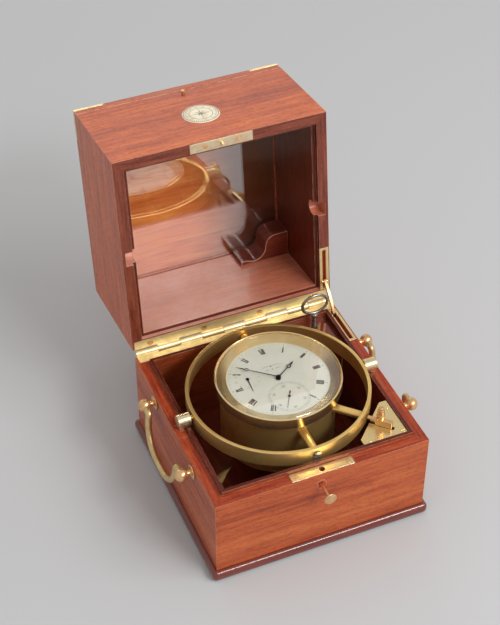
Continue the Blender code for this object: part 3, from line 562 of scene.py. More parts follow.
def turned(bm, outline, steps=64, edge=0.0, place=Matrix()):
    """Turns (radius, height) points in millimetres about Z, rounds the corners and places the result."""
    part = bmesh.new()
    points = [part.verts.new((r * MM, 0, z * MM)) for r, z in outline]
    edges = [part.edges.new(pair) for pair in zip(points, points[1:])]
    bmesh.ops.spin(part, geom=points + edges, axis=UP, angle=2 * pi, steps=steps, use_merge=True)
    bmesh.ops.remove_doubles(part, verts=part.verts, dist=0.0005 * MM)
    bmesh.ops.recalc_face_normals(part, faces=part.faces)
    if edge:
        rounded(part, edge)
    return added(bm, part, place)


bush_low, bush_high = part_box("button_bush")
BUTTON_X, BUTTON_Z = (bush_low.x + bush_high.x) / 2, (bush_low.z + bush_high.z) / 2
BUSH_WOOD = ((0.35, (0.42, 0.045, 0.008)), (0.65, (0.62, 0.10, 0.016)))
red_wood = finish("red_wood", mahogany_looks, mitred=False, boards=BUSH_WOOD, coat=0.35)
bush = [(1.6, 0.0), (1.6, 0.9), (2.6, 1.5), (4.2, 2.25), (5.1, 1.9), (5.1, 0.0), (1.6, 0.0)]
bush_at = (BUTTON_X, bush_high.y - 0.3 * MM, BUTTON_Z)
bush = turned(bmesh.new(), bush, 48, 0.15, facing(bush_at, FORWARD))
piece("button_bush", bush, red_wood, "case", "red_wood", "button_bush")

BUTTON_RISE = 2.1
button = [(0.0, BUTTON_RISE), (2.6, 2.0), (4.6, 1.55), (5.2, 1.1), (5.2, 0.5), (4.4, 0.15), (1.9, -0.4)]
button += [(1.25, -1.6), (1.25, -12.0), (1.1, -12.2), (1.1, -19.8), (0.0, -19.8)]
button_at = (BUTTON_X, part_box("release_button")[0].y + BUTTON_RISE * MM, BUTTON_Z)
button = turned(bmesh.new(), button, 48, 0.12, facing(button_at, FORWARD))
piece("release_button", button, copper, "button", "coppery_brass", "release_button")


# ------------------------------------------------------------
# The main hinge, two brass leaves the width of the case on a common pin, and the small strip
# hinge of the top lid. The leaves are let in flush and screwed to the wood.
hinge_brass = finish("hinge_brass", brass_looks, (0.90, 0.77, 0.47), (0.72, 0.56, 0.29), 0.38, 90.0, 0.6)
for node, body in (("hinge_leaf_lower", "case"), ("hinge_leaf_upper", "lid"), ("hinge_pin", "case")):
    refined(node, hinge_brass, body, "fittings_brass", 0.2, 35)
for node, body in (("top_hinge_lower", "lid"), ("top_hinge_upper", "top_lid")):
    refined(node, brass, body, "fittings_brass", 0.15, 35)
HINGE_SCREW_X = (-76, -27, 25, 74)
spots = [((x * MM, 87.2 * MM, 85.4 * MM), 20 + 47 * i) for i, x in enumerate(HINGE_SCREW_X)]
screws("hinge_screws", spots, DOWN, 2.6, 0.4, copper, "lid", "coppery_brass", opened)
BACK_Y = 91.9 * MM
for name, body, z in (("lower", "lid", 170.6), ("upper", "top_lid", 182.6)):
    spots = [(((-30 + 20 * i) * MM, BACK_Y, z * MM), 31 * i) for i in range(4)]
    screws(f"top_hinge_screws_{name}", spots, (0, 1, 0), 1.5, 0.25, brass, body, "fittings_brass", opened)


# ------------------------------------------------------------
# The lid stay, a bowed coppery arm that folds into slots between the right-hand rims. Its two
# slotted brass plates are screwed over the slots in the case and in the lid.
refined("stay_arm", copper, "stay", "coppery_brass", 0.35, 30, 3)
for node, body in (("stay_plate_lower", "case"), ("stay_plate_upper", "lid")):
    refined(node, brass, body, "fittings_brass", 0.2)
STAY_X, STAY_SCREW_Y = 87 * MM, (79.8 * MM, 41.6 * MM)
for name, body, z, way, turn in (("lower", "case", 85.0, UP, Matrix()), ("upper", "lid", 85.3, DOWN, opened)):
    spots = [((STAY_X + (2.6 - 5.2 * i) * MM, y, z * MM), 50 + 60 * i) for i, y in enumerate(STAY_SCREW_Y)]
    screws(f"stay_screws_{name}", spots, way, 1.3, 0.12, brass, body, "fittings_brass", turn, 16)


# ------------------------------------------------------------
# The lid's number plate and catch. A bone disc is let into the front and engraved with a ring and
# a compass star; the small coppery button above it frees the top lid.
def bone_looks(place):
    """Old bone: cream, yellowed in patches, with short dark pores."""
    patches = place.noise(120, 4, 0.6)
    x, y, z = place.axes()
    pores = place.point(x, y * 0.2, z * 0.2).noise(2600, 2).between(0.62, 0.70)
    colour = patches.colours((0.35, (0.80, 0.68, 0.47)), (0.60, (0.97, 0.89, 0.69)))
    colour = (pores * 0.4).mix(colour, (0.38, 0.26, 0.14))
    return {"Base Color": colour, "Roughness": 0.42, "Normal": pores.bump(0.00003, 0.3)}


bone = finish("bone", bone_looks)


def wax_looks(place, scale, dark, light):
    """Hard wax rubbed into engraving, uneven in tone between two stops."""
    return {"Base Color": place.noise(scale).colours(dark, light), "Roughness": 0.6}


ink = finish("engraving_wax", wax_looks, 700, (0.0, (0.006, 0.005, 0.005)), (1.0, (0.025, 0.02, 0.018)))
ROUNDEL_Z, ROUNDEL_R = 130 * MM, 15.7
on_front = opened @ facing((0, FRONT_Y, ROUNDEL_Z), FORWARD)
disc = [(0.0, 0.3), (ROUNDEL_R - 0.4, 0.3), (ROUNDEL_R, 0.0), (ROUNDEL_R, -1.2), (0.0, -1.2)]
disc = turned(bmesh.new(), disc, 96, 0.0, on_front)
piece("number_roundel", disc, bone, "lid", "bone", "number_roundel")


def at_point(x, y, z=0.0):
    """The matrix that moves a piece to a point in millimetres."""
    return Matrix.Translation((x * MM, y * MM, z * MM))


def flat_ring(bm, inner, outer, at=(0, 0), low=0.0, high=0.05, steps=96):
    """A flat ring in millimetres about a point, lying on the XY plane."""
    outline = [(inner, low), (outer, low), (outer, high), (inner, high), (inner, low)]
    return turned(bm, outline, steps, 0.0, at_point(*at))


def flat_shape(bm, outline, low=0.0, high=0.05):
    """A thin flat piece of an outline in millimetres, lying on the XY plane."""
    part = bmesh.new()
    face = part.faces.new([part.verts.new((x * MM, y * MM, low * MM)) for x, y in outline])
    extruded(part, [face], (0, 0, (high - low) * MM))
    bmesh.ops.recalc_face_normals(part, faces=part.faces)
    return added(bm, part)


def around(radius, angle):
    """A point in millimetres at a clock angle, in degrees from twelve."""
    return Vector((radius * sin(radians(angle)), radius * cos(radians(angle))))


marks = bmesh.new()
for inner, outer in ((14.3, 14.7), (9.6, 9.9)):
    flat_ring(marks, inner, outer, low=0.2, high=0.36)
for i in range(48):
    inner = 10.6 if i % 4 == 0 else 12.0
    aside = around(0.13, i * 7.5 + 90)
    near, far = around(inner, i * 7.5), around(13.6, i * 7.5)
    flat_shape(marks, [near - aside, near + aside, far + aside, far - aside], 0.2, 0.36)
for i in range(8):
    reach = (8.6, 5.6)[i % 2]
    tip, waist = around(reach, i * 45), around(1.7, i * 45 + 22.5)
    flat_shape(marks, [(0, 0), waist, tip], 0.2, 0.36)
marks.transform(on_front)
piece("roundel_engraving", marks, ink, "lid", "bone")

CATCH_Z = 171.4 * MM
catch = [(0.0, 3.3), (1.2, 3.2), (1.9, 2.7), (1.9, 2.0), (1.1, 1.5), (1.1, -4.5), (0.0, -4.5)]
catch = turned(bmesh.new(), catch, 32, 0.1, opened @ facing((0, FRONT_Y, CATCH_Z), FORWARD))
piece("top_catch_button", catch, copper, "catch_button", "coppery_brass", "top_catch_button")


# ------------------------------------------------------------
# The carrying handles. On each side two turned posts with rose plates, necks and balls are screwed
# to the case, and a bent brass bail swings on pins in the balls.
def bent_rod(bm, radius, start, heading, moves, sides=20):
    """Draws a round rod out from a point by moves: ("run", vector) or ("bend", centre, axis, angle)."""
    part = bmesh.new()
    ring = bmesh.ops.create_circle(part, cap_ends=True, radius=radius * MM, segments=sides)["verts"]
    bmesh.ops.transform(part, matrix=facing(start, heading), verts=ring)
    edges = part.edges[:]
    for kind, *how in moves:
        if kind == "run":
            made = bmesh.ops.extrude_edge_only(part, edges=edges)["geom"]
            shift(part, made, how[0])
        else:
            centre, axis, angle = how
            swept = bmesh.ops.spin(part, geom=edges, cent=centre, axis=axis, angle=angle, steps=14)
            made = swept["geom_last"]
        edges = [g for g in made if isinstance(g, bmesh.types.BMEdge) and len(g.link_faces) == 1]
    bmesh.ops.edgeloop_fill(part, edges=edges)
    bmesh.ops.recalc_face_normals(part, faces=part.faces)
    return added(bm, part)


handled_brass = finish("handled_brass", brass_looks, (0.72, 0.54, 0.27), (0.46, 0.31, 0.13), 0.30)
BALL_R, NECK_R, ROSE_R = 5.5, 2.4, 6.2
BAIL_R, BAIL_HALF, BAIL_DROP, BAIL_LEAN = 2.8, 31.0, 29.3, radians(7)
BAIL_CORNER, BAIL_KNEE, BAIL_EYE, PIN_AT = 24.0, 3.0, 4.5, 34.5
for name, side in (("left", -1), ("right", 1)):
    for end_name, end in (("front", -1), ("rear", 1)):
        node = f"handle_post_{name}_{end_name}"
        low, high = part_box(node)
        wall = high.x if side < 0 else low.x
        ball_x = (low.x + BALL_R * MM) if side < 0 else (high.x - BALL_R * MM)
        reach = abs(ball_x - wall) / MM
        turns = [radians(a) for a in range(0, 153, 8)]
        outline = [(BALL_R * sin(t), reach + BALL_R * cos(t)) for t in turns]
        outline += [(NECK_R, 3.0), (NECK_R + 0.2, 1.9), (NECK_R + 1.6, 1.6)]
        outline += [(ROSE_R - 0.5, 1.2), (ROSE_R, 0.7), (ROSE_R, 0.0), (0.0, 0.0)]
        y, z = (low.y + high.y) / 2, (low.z + high.z) / 2
        post = turned(bmesh.new(), outline, 48, 0.0, facing((wall, y, z), (side, 0, 0)))
        piece(node, post, copper, "case", "coppery_brass", node)
    down = Vector((side * sin(BAIL_LEAN), 0, -cos(BAIL_LEAN)))
    top = Vector((ball_x, 0, z))
    ear = Vector((0, 1, 0))
    knee, leg, corner = BAIL_KNEE * MM, BAIL_HALF * MM, BAIL_CORNER * MM
    inset, drop = abs(y) - BAIL_EYE * MM, BAIL_DROP * MM - corner
    start = top - ear * inset
    first = top - ear * (leg + knee) + down * knee
    second = top - ear * (leg - corner) + down * drop
    third = top + ear * (leg - corner) + down * drop
    fourth = top + ear * (leg + knee) + down * knee
    turn = ear.cross(down)
    moves = [("run", first - down * knee - start), ("bend", first, -turn, -pi / 2)]
    moves += [("run", down * (drop - knee)), ("bend", second, turn, -pi / 2), ("run", third - second)]
    moves += [("bend", third, turn, -pi / 2), ("run", -down * (drop - knee))]
    moves += [("bend", fourth, -turn, -pi / 2), ("run", ear * (inset - leg - knee))]
    bail = bent_rod(bmesh.new(), BAIL_R, start, ear, moves)
    for end in (-1, 1):
        pin = [(0.0, 0.0), (1.3, 0.0), (1.3, 6.0), (0.0, 6.0)]
        turned(bail, pin, 24, 0.0, facing(top + ear * end * PIN_AT * MM, ear * end))
    piece(f"bail_{name}", bail, handled_brass, f"{name}_bail", "fittings_brass", f"bail_{name}")


# ------------------------------------------------------------
# The gimbals. Two polished barrels, each on a flat foot in a side rim, carry the pins of a brass
# ring. The ring, turned and lacquered, carries the bowl on two screws with slotted heads.
def spun_looks(place):
    """Lacquered brass with the fine rings that the lathe left, worn at its edges."""
    x, y, z = place.axes()
    out = (x * x + y * y) ** 0.5
    lines = place.point(out, 0.0, z).noise(4200, 2, 0.6)
    wide_lines = place.point(out, 0.0, z).noise(700, 2, 0.5)
    patches = place.noise(60, 4, 0.6, 0.3).between(0.40, 0.66)
    spots = place.noise(900, 3, 0.6).between(0.64, 0.74)
    edge = place.mark("edge")
    colour = (patches * 0.55 + wide_lines * 0.25).mix((0.98, 0.69, 0.25), (0.80, 0.49, 0.14))
    colour = (spots * 0.25).mix(colour, (0.22, 0.11, 0.04))
    colour = (edge * 0.6).mix(colour, (0.95, 0.76, 0.42))
    return {
        "Base Color": colour,
        "Metallic": 0.86,
        "Roughness": lines * 0.16 + patches * 0.08 + 0.24,
        "Normal": lines.bump(0.000035, 0.5),
    }


spun = finish("spun_brass", spun_looks)
pale_brass = finish("pale_brass", brass_looks, (0.80, 0.68, 0.42), (0.62, 0.49, 0.26), 0.26)
FOOT_HALF = 3.2 * MM
for name, side in (("left", -1), ("right", 1)):
    node = f"gimbal_bearing_{name}"
    low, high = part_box(node)
    long = (high.x - low.x) / MM
    radius = high.y / MM
    outline = [(0.0, long - 2.4), (2.3, long - 2.4), (2.3, long), (radius, long), (radius, 0.0), (0.0, 0.0)]
    place = facing((low.x if side < 0 else high.x, 0, high.z - high.y), (-side, 0, 0))
    bearing = turned(bmesh.new(), outline, 64, 0.35, place)
    foot_low = Vector((low.x + 0.6 * MM, -FOOT_HALF, low.z))
    box(bearing, foot_low, (high.x - 0.6 * MM, FOOT_HALF, low.z + 3.5 * MM), 0.4)
    piece(node, bearing, pale_brass, "case", "fittings_brass", node)


def bored(bm, *tools):
    """The shape with the tools' shapes cut out of it."""
    objects = []
    for shape in (bm, *tools):
        mesh = bpy.data.meshes.new("bored")
        shape.to_mesh(mesh)
        shape.free()
        objects.append(bpy.data.objects.new("bored", mesh))
        scene.collection.objects.link(objects[-1])
    for tool in objects[1:]:
        objects[0].modifiers.new("Bore", "BOOLEAN").object = tool
    bpy.context.view_layer.update()
    result = bmesh.new()
    result.from_object(objects[0], bpy.context.evaluated_depsgraph_get())
    for obj in objects:
        mesh = obj.data
        bpy.data.objects.remove(obj)
        bpy.data.meshes.remove(mesh)
    return result


def drill(radius, reach, sides, place):
    """A round cutter for bored(), reaching as far above its place as below it."""
    outline = [(0.0, reach), (radius, reach), (radius, -reach), (0.0, -reach)]
    return turned(bmesh.new(), outline, sides, 0.0, place)


ring_low, ring_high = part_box("gimbal_ring")
AXIS = Vector((0, 0, (ring_low.z + ring_high.z) / 2))
RING_OUT, RING_IN, RING_H = ring_high.y / MM, ring_high.y / MM - 3.0, (ring_high.z - ring_low.z) / MM
half = RING_H / 2
outline = [(RING_IN, half), (RING_OUT, half), (RING_OUT, -half), (RING_IN, -half), (RING_IN, half)]
ring = turned(bmesh.new(), outline, 160, 0.45, Matrix.Translation(AXIS))
LOCK_WAY = Vector((1, -1, 0)).normalized()
ring = bored(ring, drill(2.4, 8.0, 32, facing(AXIS + LOCK_WAY * RING_OUT * MM, LOCK_WAY)))
for side in (-1, 1):
    pin = [(0.0, 10.0), (2.0, 10.0), (2.0, 1.0), (3.4, 0.3), (3.4, -0.5), (0.0, -0.5)]
    turned(ring, pin, 32, 0.2, facing(AXIS + Vector((side * (RING_OUT - 1.5) * MM, 0, 0)), (side, 0, 0)))
piece("gimbal_ring", ring, spun, "ring", "lacquered_brass", "gimbal_ring")

steel = finish("steel", brass_looks, (0.34, 0.32, 0.28), (0.15, 0.14, 0.12), 0.22, 150.0)
PIVOT_OUT, PIVOT_SUNK = 76.4, 0.05
for name, side, metal in (("front", -1, steel), ("rear", 1, brass)):
    way = Vector((0, side, 0))
    screw = [(0.0, 0.0), (1.8, 0.0), (1.8, -10.2), (0.0, -10.2)]
    screw = turned(bmesh.new(), screw, 32, 0.1, facing(AXIS + way * PIVOT_OUT * MM, way))
    slotted(screw, AXIS + way * (PIVOT_OUT - PIVOT_SUNK) * MM, way, 3.5, 60, 0.8, 32)
    piece(f"bowl_pivot_{name}", screw, metal, "ring", "lacquered_brass", f"bowl_pivot_{name}")


# ------------------------------------------------------------
# The bowl, a spun brass can with turned bosses front and back for its pivots and a third at 45
# degrees for the gimbal lock. A small round-ended shutter covers the winding hole in its floor.
bowl_low, bowl_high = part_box("bowl")
BOWL_R, BOWL_LOW, BOWL_TOP = 47.5, bowl_low.z / MM, bowl_high.z / MM
FLOOR, CORNER, WALL = 2.0, 5.0, 1.5
turns = [radians(a) for a in range(0, 91, 9)]
arc = [(BOWL_R - CORNER + CORNER * cos(t), BOWL_LOW + CORNER - CORNER * sin(t)) for t in turns]
outline = [(0.0, BOWL_LOW + FLOOR), (BOWL_R - WALL, BOWL_LOW + FLOOR), (BOWL_R - WALL, BOWL_TOP)]
outline += [(BOWL_R, BOWL_TOP), *arc, (0.0, BOWL_LOW)]
bowl = bored(turned(bmesh.new(), outline, 144), drill(3.2, 5.0, 32, at_point(-16.0, 14.0, BOWL_LOW)))
BOSS_TIP, BOSS_SUNK = 72.2, 0.8
BOSSES = (((0, -1, 0), 3.6, 2.1, 8.2), ((0, 1, 0), 3.6, 2.1, 8.2), (LOCK_WAY, 3.4, 2.2, 4.0))
for way, radius, bore, deep in BOSSES:
    way, long = Vector(way), BOSS_TIP - BOWL_R + BOSS_SUNK
    boss = [(0.0, long - deep), (bore, long - deep), (bore, long), (radius - 0.5, long), (radius, long - 0.5)]
    boss += [(radius, 2.2), (radius + 0.5, 1.2), (radius + 1.7, 0.6), (radius + 1.7, 0.0), (0.0, 0.0)]
    turned(bowl, boss, 48, 0.0, facing(AXIS + way * (BOWL_R - BOSS_SUNK) * MM, way))
piece("bowl", bowl, spun, "bowl", "lacquered_brass", "bowl")
shutter = softened("dust_shutter", 0.3, 35)
slotted(shutter, (0, 0, (BOWL_LOW - 1.5) * MM), DOWN, 2.2, 30, 0.3)
piece("dust_shutter", shutter, spun, "shutter", "lacquered_brass", "dust_shutter")

# The bezel screws on over the bowl's rim. It is a drum with a rolled top edge and a broad slope
# down to the dial, polished bright, under a flat crystal that is puttied into its rim.
BEZEL_R, BEZEL_TOP, DIAL_Z, DIAL_SEEN = 52.2, 112.0, 107.0, 42.4
BEZEL_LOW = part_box("bezel")[0].z / MM
roll = [(50.2, BEZEL_TOP - 1.3), (50.6, BEZEL_TOP - 0.4), (51.2, BEZEL_TOP)]
roll += [(51.8, BEZEL_TOP - 0.3), (BEZEL_R, BEZEL_TOP - 1.0)]
drum = [(BEZEL_R, BEZEL_LOW + 1.3), (BEZEL_R - 0.35, BEZEL_LOW + 1.0)]
drum += [(BEZEL_R - 0.35, BEZEL_LOW + 0.3), (BEZEL_R - 0.7, BEZEL_LOW)]
under = [(BOWL_R + 0.3, BEZEL_LOW), (BOWL_R + 0.3, DIAL_Z + 0.3)]
under += [(DIAL_SEEN, DIAL_Z + 0.3), (DIAL_SEEN, DIAL_Z + 0.75)]
slope = [(DIAL_SEEN + 0.35, DIAL_Z + 0.95), (49.3, BEZEL_TOP - 2.0)]
slope += [(50.2, BEZEL_TOP - 1.9), (50.2, BEZEL_TOP - 1.3)]


def polished_looks(place):
    """Brass polished almost to a mirror, clouded in patches."""
    patches = place.noise(60, 3, 0.5).between(0.35, 0.70)
    colour = patches.mix((1.0, 0.80, 0.46), (0.93, 0.68, 0.33))
    return {"Base Color": colour, "Metallic": 0.96, "Roughness": patches * 0.05 + 0.17}


polished = finish("polished_brass", polished_looks)
bezel = turned(bmesh.new(), roll + drum + under + slope, 192, 0.0)
piece("bezel", bezel, polished, "bowl", "lacquered_brass", "bezel", smooth=26)
glass = clear_glass("crystal", (0.985, 0.99, 0.985), 2.0)
crystal = [(0.0, 0.0), (49.6, 0.0), (50.0, -0.4), (50.0, -1.0), (0.0, -1.0)]
crystal = turned(bmesh.new(), crystal, 128, 0.0, at_point(0, 0, BEZEL_TOP - 0.4))
piece("crystal", crystal, glass, "bowl", "crystal", "crystal")


# ------------------------------------------------------------
# The dial, a silvered brass plate with engraved figures filled with black wax: radial Roman hours,
# a minute track, a seconds dial with its figures, and the scale of the up-and-down indicator.
def silvered_looks(place):
    """Matt silvering, grained by hand, a little toned and spotted."""
    tone = place.noise(38, 4, 0.6)
    grain = place.noise(3800, 2, 0.5)
    spots = place.noise(800, 3, 0.6).between(0.70, 0.78)
    colour = tone.colours((0.35, (0.86, 0.85, 0.74)), (0.65, (0.93, 0.925, 0.83)))
    colour = (spots * 0.3).mix(colour, (0.36, 0.33, 0.25))
    return {
        "Base Color": colour,
        "Metallic": 0.1,
        "Roughness": tone * 0.1 + 0.42,
        "Normal": grain.bump(0.00001, 0.25),
    }


silvered = finish("silvered_dial", silvered_looks)
CENTRE_AT, SECONDS_AT, UPDOWN_AT = Vector((0, 0)), Vector((0, -0.525 * DIAL_SEEN)), Vector((-23.5, 8.5))
DIAL_R, DIAL_THICK = 45.0, 1.2
SECONDS_R = 0.40 * DIAL_SEEN
plate = [(0.0, 0.0), (DIAL_R, 0.0), (DIAL_R, -DIAL_THICK), (0.0, -DIAL_THICK)]
plate = turned(bmesh.new(), plate, 128, 0.0, at_point(0, 0, DIAL_Z))
ARBORS = ((CENTRE_AT, 2.2), (SECONDS_AT, 0.9), (UPDOWN_AT, 0.9))
bores = [drill(radius, 3.0, 24, at_point(*at, DIAL_Z)) for at, radius in ARBORS]
piece("dial", bored(plate, *bores), silvered, "bowl", "silvered_dial", "dial")

on_dial = at_point(0, 0, DIAL_Z - 0.005)
THICK, THIN, FOOT, HEAD = 0.24, 0.05, 0.02, 0.98


def serif(left, right, height):
    """A thin stroke along a letter's foot or head."""
    return ((left, height), (right, height), THIN)


LETTERS = {
    "I": (0.30, [((0.15, 0), (0.15, 1), THICK), serif(0, 0.32, FOOT), serif(0, 0.32, HEAD)]),
    "V": (0.56, [
        ((0.10, 1), (0.28, 0), THICK),
        ((0.47, 1), (0.28, 0), THIN),
        serif(0, 0.2, HEAD),
        serif(0.38, 0.56, HEAD),
    ]),
    "X": (0.58, [
        ((0.10, 1), (0.46, 0), THICK),
        ((0.46, 1), (0.10, 0), THIN),
        serif(0, 0.2, HEAD),
        serif(0.36, 0.56, HEAD),
        serif(0, 0.2, FOOT),
        serif(0.36, 0.56, FOOT),
    ]),
}


def line(bm, start, end, wide, low=0.0, high=0.05):
    """A straight engraved line, from one point to another, in millimetres."""
    start, end = Vector(start), Vector(end)
    aside = Vector((end.y - start.y, start.x - end.x)).normalized() * wide / 2
    return flat_shape(bm, [start - aside, start + aside, end + aside, end - aside], low, high)


def numeral(bm, text, radius, height, angle, squeeze=0.62):
    """A Roman numeral cut radially, its feet at a radius."""
    wide = sum(LETTERS[letter][0] for letter in text)
    x = -wide / 2
    out, aside = around(1, angle), around(1, angle + 90)
    for letter in text:
        for start, end, stroke in LETTERS[letter][1]:
            ends = [
                out * (radius + up * height) + aside * (x + across) * height * squeeze
                for across, up in (start, end)
            ]
            thick = stroke * height * (squeeze if start[0] != end[0] or stroke == THICK else 1)
            line(bm, *ends, thick)
        x += LETTERS[letter][0]
    return bm


HOURS = "XII I II III IIII V VI VII VIII IX X XI".split()
NUMERAL_R, NUMERAL_H, TRACK_R = 31.0, 6.3, 39.6
figures = bmesh.new()
for i, text in enumerate(HOURS):
    if i != 6:
        numeral(figures, text, NUMERAL_R, NUMERAL_H, i * 30)
for i in range(60):
    inner, wide = (TRACK_R - 0.9, 0.34) if i % 5 == 0 else (TRACK_R, 0.16)
    if abs(i - 30) > 3:
        line(figures, around(inner, i * 6), around(TRACK_R + 1.0, i * 6), wide)
figures.transform(on_dial)
piece("dial_numerals", figures, ink, "bowl", "silvered_dial")


def figure(bm, text, at, size, angle=0.0):
    """A number in plain figures, centred on a point and turned to a clock angle."""
    curve = bpy.data.curves.new("figure", "FONT")
    curve.body, curve.size, curve.align_x, curve.align_y = text, size * MM, "CENTER", "CENTER"
    curve.extrude, curve.resolution_u = 0.02 * MM, 2
    obj = bpy.data.objects.new("figure", curve)
    scene.collection.objects.link(obj)
    bpy.context.view_layer.update()
    mesh = bpy.data.meshes.new_from_object(obj.evaluated_get(bpy.context.evaluated_depsgraph_get()))
    part = bmesh.new()
    part.from_mesh(mesh)
    bpy.data.objects.remove(obj)
    bpy.data.curves.remove(curve)
    bpy.data.meshes.remove(mesh)
    bmesh.ops.remove_doubles(part, verts=part.verts, dist=0.0002 * MM)
    return added(bm, part, at_point(*at, 0.02) @ Matrix.Rotation(-radians(angle), 4, "Z"))


small = bmesh.new()
flat_ring(small, SECONDS_R - 0.10, SECONDS_R + 0.02, SECONDS_AT, high=0.03)
flat_ring(small, SECONDS_R - 1.75, SECONDS_R - 1.65, SECONDS_AT, high=0.03)
for i in range(60):
    inner, wide = (SECONDS_R - 2.3, 0.24) if i % 5 == 0 else (SECONDS_R - 1.7, 0.13)
    start, end = (SECONDS_AT + around(radius, i * 6) for radius in (inner, SECONDS_R - 0.1))
    line(small, start, end, wide, high=0.03)
for i in range(6):
    figure(small, str(i * 10 or 60), SECONDS_AT + around(SECONDS_R - 4.6, i * 60), 3.3, i * 60)
UPDOWN_R = 8.4
for i in range(15):
    angle = 55 + i * 18
    if i % 2 == 0:
        figure(small, str(i * 4), UPDOWN_AT + around(UPDOWN_R + 1.5, angle), 1.7, angle)
    start, end = (UPDOWN_AT + around(radius, angle) for radius in (UPDOWN_R - 0.9, UPDOWN_R))
    line(small, start, end, 0.16, high=0.03)
small.transform(on_dial)
faded = finish("faded_wax", wax_looks, 600, (0.4, (0.16, 0.15, 0.13)), (0.6, (0.34, 0.33, 0.29)))
piece("dial_small_figures", small, faded, "bowl", "silvered_dial")

flourish = bmesh.new()
for side in (-1, 1):
    for i in range(5):
        start = (side * (1.6 + i * 1.7), 15.6 + 0.9 * sin(i))
        end = (side * (3.3 + i * 1.7), 15.6 + 0.9 * sin(i + 1))
        line(flourish, start, end, 0.34 - i * 0.05, high=0.03)
    leaf = [(side * 2.2, 12.0), (side * 4.6, 12.25), (side * 7.4, 12.0), (side * 4.6, 11.75)]
    flat_shape(flourish, leaf[::side], 0.0, 0.03)
flat_shape(flourish, [(-1.0, 15.6), (0, 14.5), (1.0, 15.6), (0, 16.7)], 0.0, 0.03)
flat_shape(flourish, [(-0.7, 12.0), (0, 11.3), (0.7, 12.0), (0, 12.7)], 0.0, 0.03)
flourish.transform(on_dial)
piece("dial_flourish", flourish, faded, "bowl", "silvered_dial")


# ------------------------------------------------------------
# The hands, of thin blued steel pressed on their arbors: hour and minute hands with an open ring
# near their points, a fine seconds hand with a counterpoise, and the up-and-down hand.
def blued_looks(place):
    """Steel blued by heat, nearly black."""
    tone = place.noise(500)
    colour = tone.mix((0.012, 0.013, 0.022), (0.035, 0.035, 0.055))
    return {"Base Color": colour, "Metallic": 0.8, "Roughness": tone * 0.2 + 0.22}


blued = finish("blued_steel", blued_looks)


def hand(name, body, at, height, angle, shapes, eye, hub):
    """A hand from flat shapes, an open ring as (centre, inner, outer) and a turned hub."""
    part = bmesh.new()
    for outline in shapes:
        flat_shape(part, outline, 0.0, 0.3)
    if eye:
        flat_ring(part, eye[1], eye[2], (0, eye[0]), 0.0, 0.32, 40)
    boss = [(0.0, 0.75), (hub * 0.45, 0.75), (hub * 0.5, 0.35), (hub, 0.32), (hub, -0.05), (0.0, -0.05)]
    turned(part, boss, 32)
    part.transform(at_point(*at, height) @ Matrix.Rotation(-radians(angle), 4, "Z"))
    piece(name, part, blued, body, "blued_steel", name)


hour = [[(-0.42, 1.5), (0.42, 1.5), (0.26, 14.2), (-0.26, 14.2)]]
hour += [[(-0.3, 17.8), (0.3, 17.8), (0.85, 19.6), (0.0, 23.0), (-0.85, 19.6)]]
hand("hour_hand", "hour_pipe", CENTRE_AT, 108.1, 56, hour, (16.0, 1.25, 1.95), 2.2)
minute = [[(-0.42, 1.5), (0.42, 1.5), (0.2, 25.6), (-0.2, 25.6)]]
minute += [[(-0.25, 28.4), (0.25, 28.4), (0.5, 29.6), (0.0, 36.0), (-0.5, 29.6)]]
hand("minute_hand", "centre_arbor", CENTRE_AT, 109.2, 310, minute, (27.0, 1.0, 1.6), 2.0)
seconds = [[(-0.22, -5.6), (0.22, -5.6), (0.1, 13.5), (-0.1, 13.5)]]
seconds += [[(-0.55, -6.0), (0.55, -6.0), (0.35, -3.0), (-0.35, -3.0)]]
hand("seconds_hand", "fourth_arbor", SECONDS_AT, 107.4, 210, seconds, None, 1.15)
updown = [[(-0.4, 0.0), (0.4, 0.0), (0.14, 14.5), (-0.14, 14.5)]]
hand("up_down_hand", "up_down", UPDOWN_AT, 107.4, 184, updown, None, 1.35)


# ------------------------------------------------------------
# The gimbal lock, which holds the bowl level for carrying. A bolt slides on a pentagonal brass
# plate through the ring into the bowl's third boss, and a turned thumbscrew clamps it in a slot.
corner_brass = finish("corner_brass", brass_looks, (0.88, 0.70, 0.35), (0.74, 0.54, 0.23), 0.24, 40.0, 0.25)
plate_low, plate_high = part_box("lock_corner_plate")
PLATE_TOP = plate_high.z
LEG, BLUNT, SLOT_END, SLOT_WIDE = 38.5, 6.5, 100.0, 3.2
x, y = plate_high.x / MM, plate_low.y / MM
mouth = (x - BLUNT - y - LEG) / 2 ** 0.5
along = LOCK_WAY.to_2d()
aside = Vector((1, 1)).normalized() * SLOT_WIDE / 2
slot = [along * mouth + aside, along * SLOT_END + aside, along * SLOT_END - aside, along * mouth - aside]
outline = [(x, y), (x, y + LEG), (x - BLUNT, y + LEG), *slot, (x - LEG, y + BLUNT), (x - LEG, y)]
plate = flat_shape(bmesh.new(), outline, plate_low.z / MM, PLATE_TOP / MM)
piece("lock_corner_plate", rounded(plate, 0.3), corner_brass, "case", "fittings_brass", "lock_corner_plate")
PLATE_SCREWS = ((76.0, -46.0, 10), (47.0, -74.5, 60), (76.5, -75.0, 100))
spots = [((x * MM, y * MM, PLATE_TOP), turn) for x, y, turn in PLATE_SCREWS]
screws("corner_plate_screws", spots, UP, 2.0, 0.2, corner_brass, "case", "fittings_brass")
refined("lock_bolt", copper, "bolt", "coppery_brass", 0.4, 35, 3)
screw_low, screw_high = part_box("lock_thumbscrew")
screw_at = (screw_low + screw_high) / 2
tall = (screw_high.z - screw_low.z) / MM
head = [(0.0, tall), (1.6, tall), (2.1, tall - 0.5), (2.3, tall - 1.3), (2.3, tall - 2.2)]
head += [(2.75, tall - 2.7), (2.9, tall - 3.2)]
foot = [(2.9, 5.6), (2.6, 5.3), (2.6, 4.9), (3.3, 4.6), (3.5, 4.2), (3.5, 0.4), (3.2, 0.0), (0.0, 0.0)]
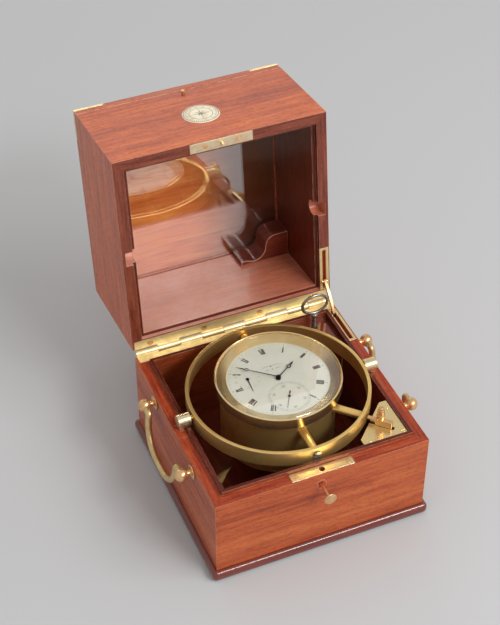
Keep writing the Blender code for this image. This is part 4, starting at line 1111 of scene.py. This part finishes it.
thumb = turned(bmesh.new(), head + foot, 48, 0.0, Matrix.Translation((screw_at.x, screw_at.y, screw_low.z)))
piece("lock_thumbscrew", thumb, copper, "thumbscrew", "coppery_brass", "lock_thumbscrew", smooth=40)


# ------------------------------------------------------------
# The winding key, steel, with a ring bow on a ferrule. It stands in a hole in its corner block
# and lifts straight out.
key_low, key_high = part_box("winding_key")
KEY_AT = Vector(((key_low.x + key_high.x) / 2, (key_low.y + key_high.y) / 2, 0))
BOW_WIDE, BOW_WIRE = 1.22, 1.2
BOW_R = (key_high.x - key_low.x) / 2 / MM / BOW_WIDE - BOW_WIRE
bow_z = key_high.z / MM - BOW_R - BOW_WIRE
ferrule = [(0.0, bow_z - BOW_R + 0.4), (1.4, bow_z - BOW_R + 0.2), (1.7, 98.0), (2.5, 97.4)]
ferrule += [(2.9, 96.6), (2.9, 95.4), (2.4, 94.6), (1.9, 93.6)]
shank = [(2.0, 84.0), (2.6, 83.2), (2.6, 53.4), (2.2, 53.0), (0.0, 53.0)]
key = turned(bmesh.new(), ferrule + shank, 40, 0.0, Matrix.Translation(KEY_AT))
wire = bmesh.new()
bmesh.ops.create_circle(wire, radius=BOW_WIRE * MM, segments=20)
bmesh.ops.translate(wire, vec=(BOW_R * MM, 0, 0), verts=wire.verts)
bmesh.ops.spin(wire, geom=wire.edges[:], axis=(0, 1, 0), angle=2 * pi, steps=72, use_merge=True)
bmesh.ops.remove_doubles(wire, verts=wire.verts, dist=0.0005 * MM)
bmesh.ops.recalc_face_normals(wire, faces=wire.faces)
widened = Matrix.Diagonal((BOW_WIDE, 1, 1, 1))
added(key, wire, Matrix.Translation(KEY_AT + Vector((0, 0, bow_z * MM))) @ widened)
piece("winding_key", key, steel, "key", "steel", "winding_key", smooth=40)


# ------------------------------------------------------------
# The movement under the dial: two brass plates, the going train, the fusee and the barrel, the
# detent and the balance. None of it shows through the dial, so it keeps its plain shapes.
def frosted_looks(place):
    """Spotted movement brass."""
    spots = place.noise(420, 2, 0.4)
    colour = spots.colours((0.38, (0.55, 0.38, 0.15)), (0.60, (0.78, 0.57, 0.26)))
    return {"Base Color": colour, "Metallic": 1.0, "Roughness": spots * 0.2 + 0.25}


frosted = finish("movement_brass", frosted_looks)
PLATES = ("pillar_plate", "top_plate", "balance_cock")
WHEELS = ("fourth_wheel", "third_wheel", "centre_wheel", "escape_wheel", "balance_wheel")
for node in (*PLATES, *WHEELS, "fusee", "spring_barrel", "detent"):
    metals = frame["nodes"][node].data.materials
    metals.clear()
    metals.append(steel if node == "detent" else frosted)
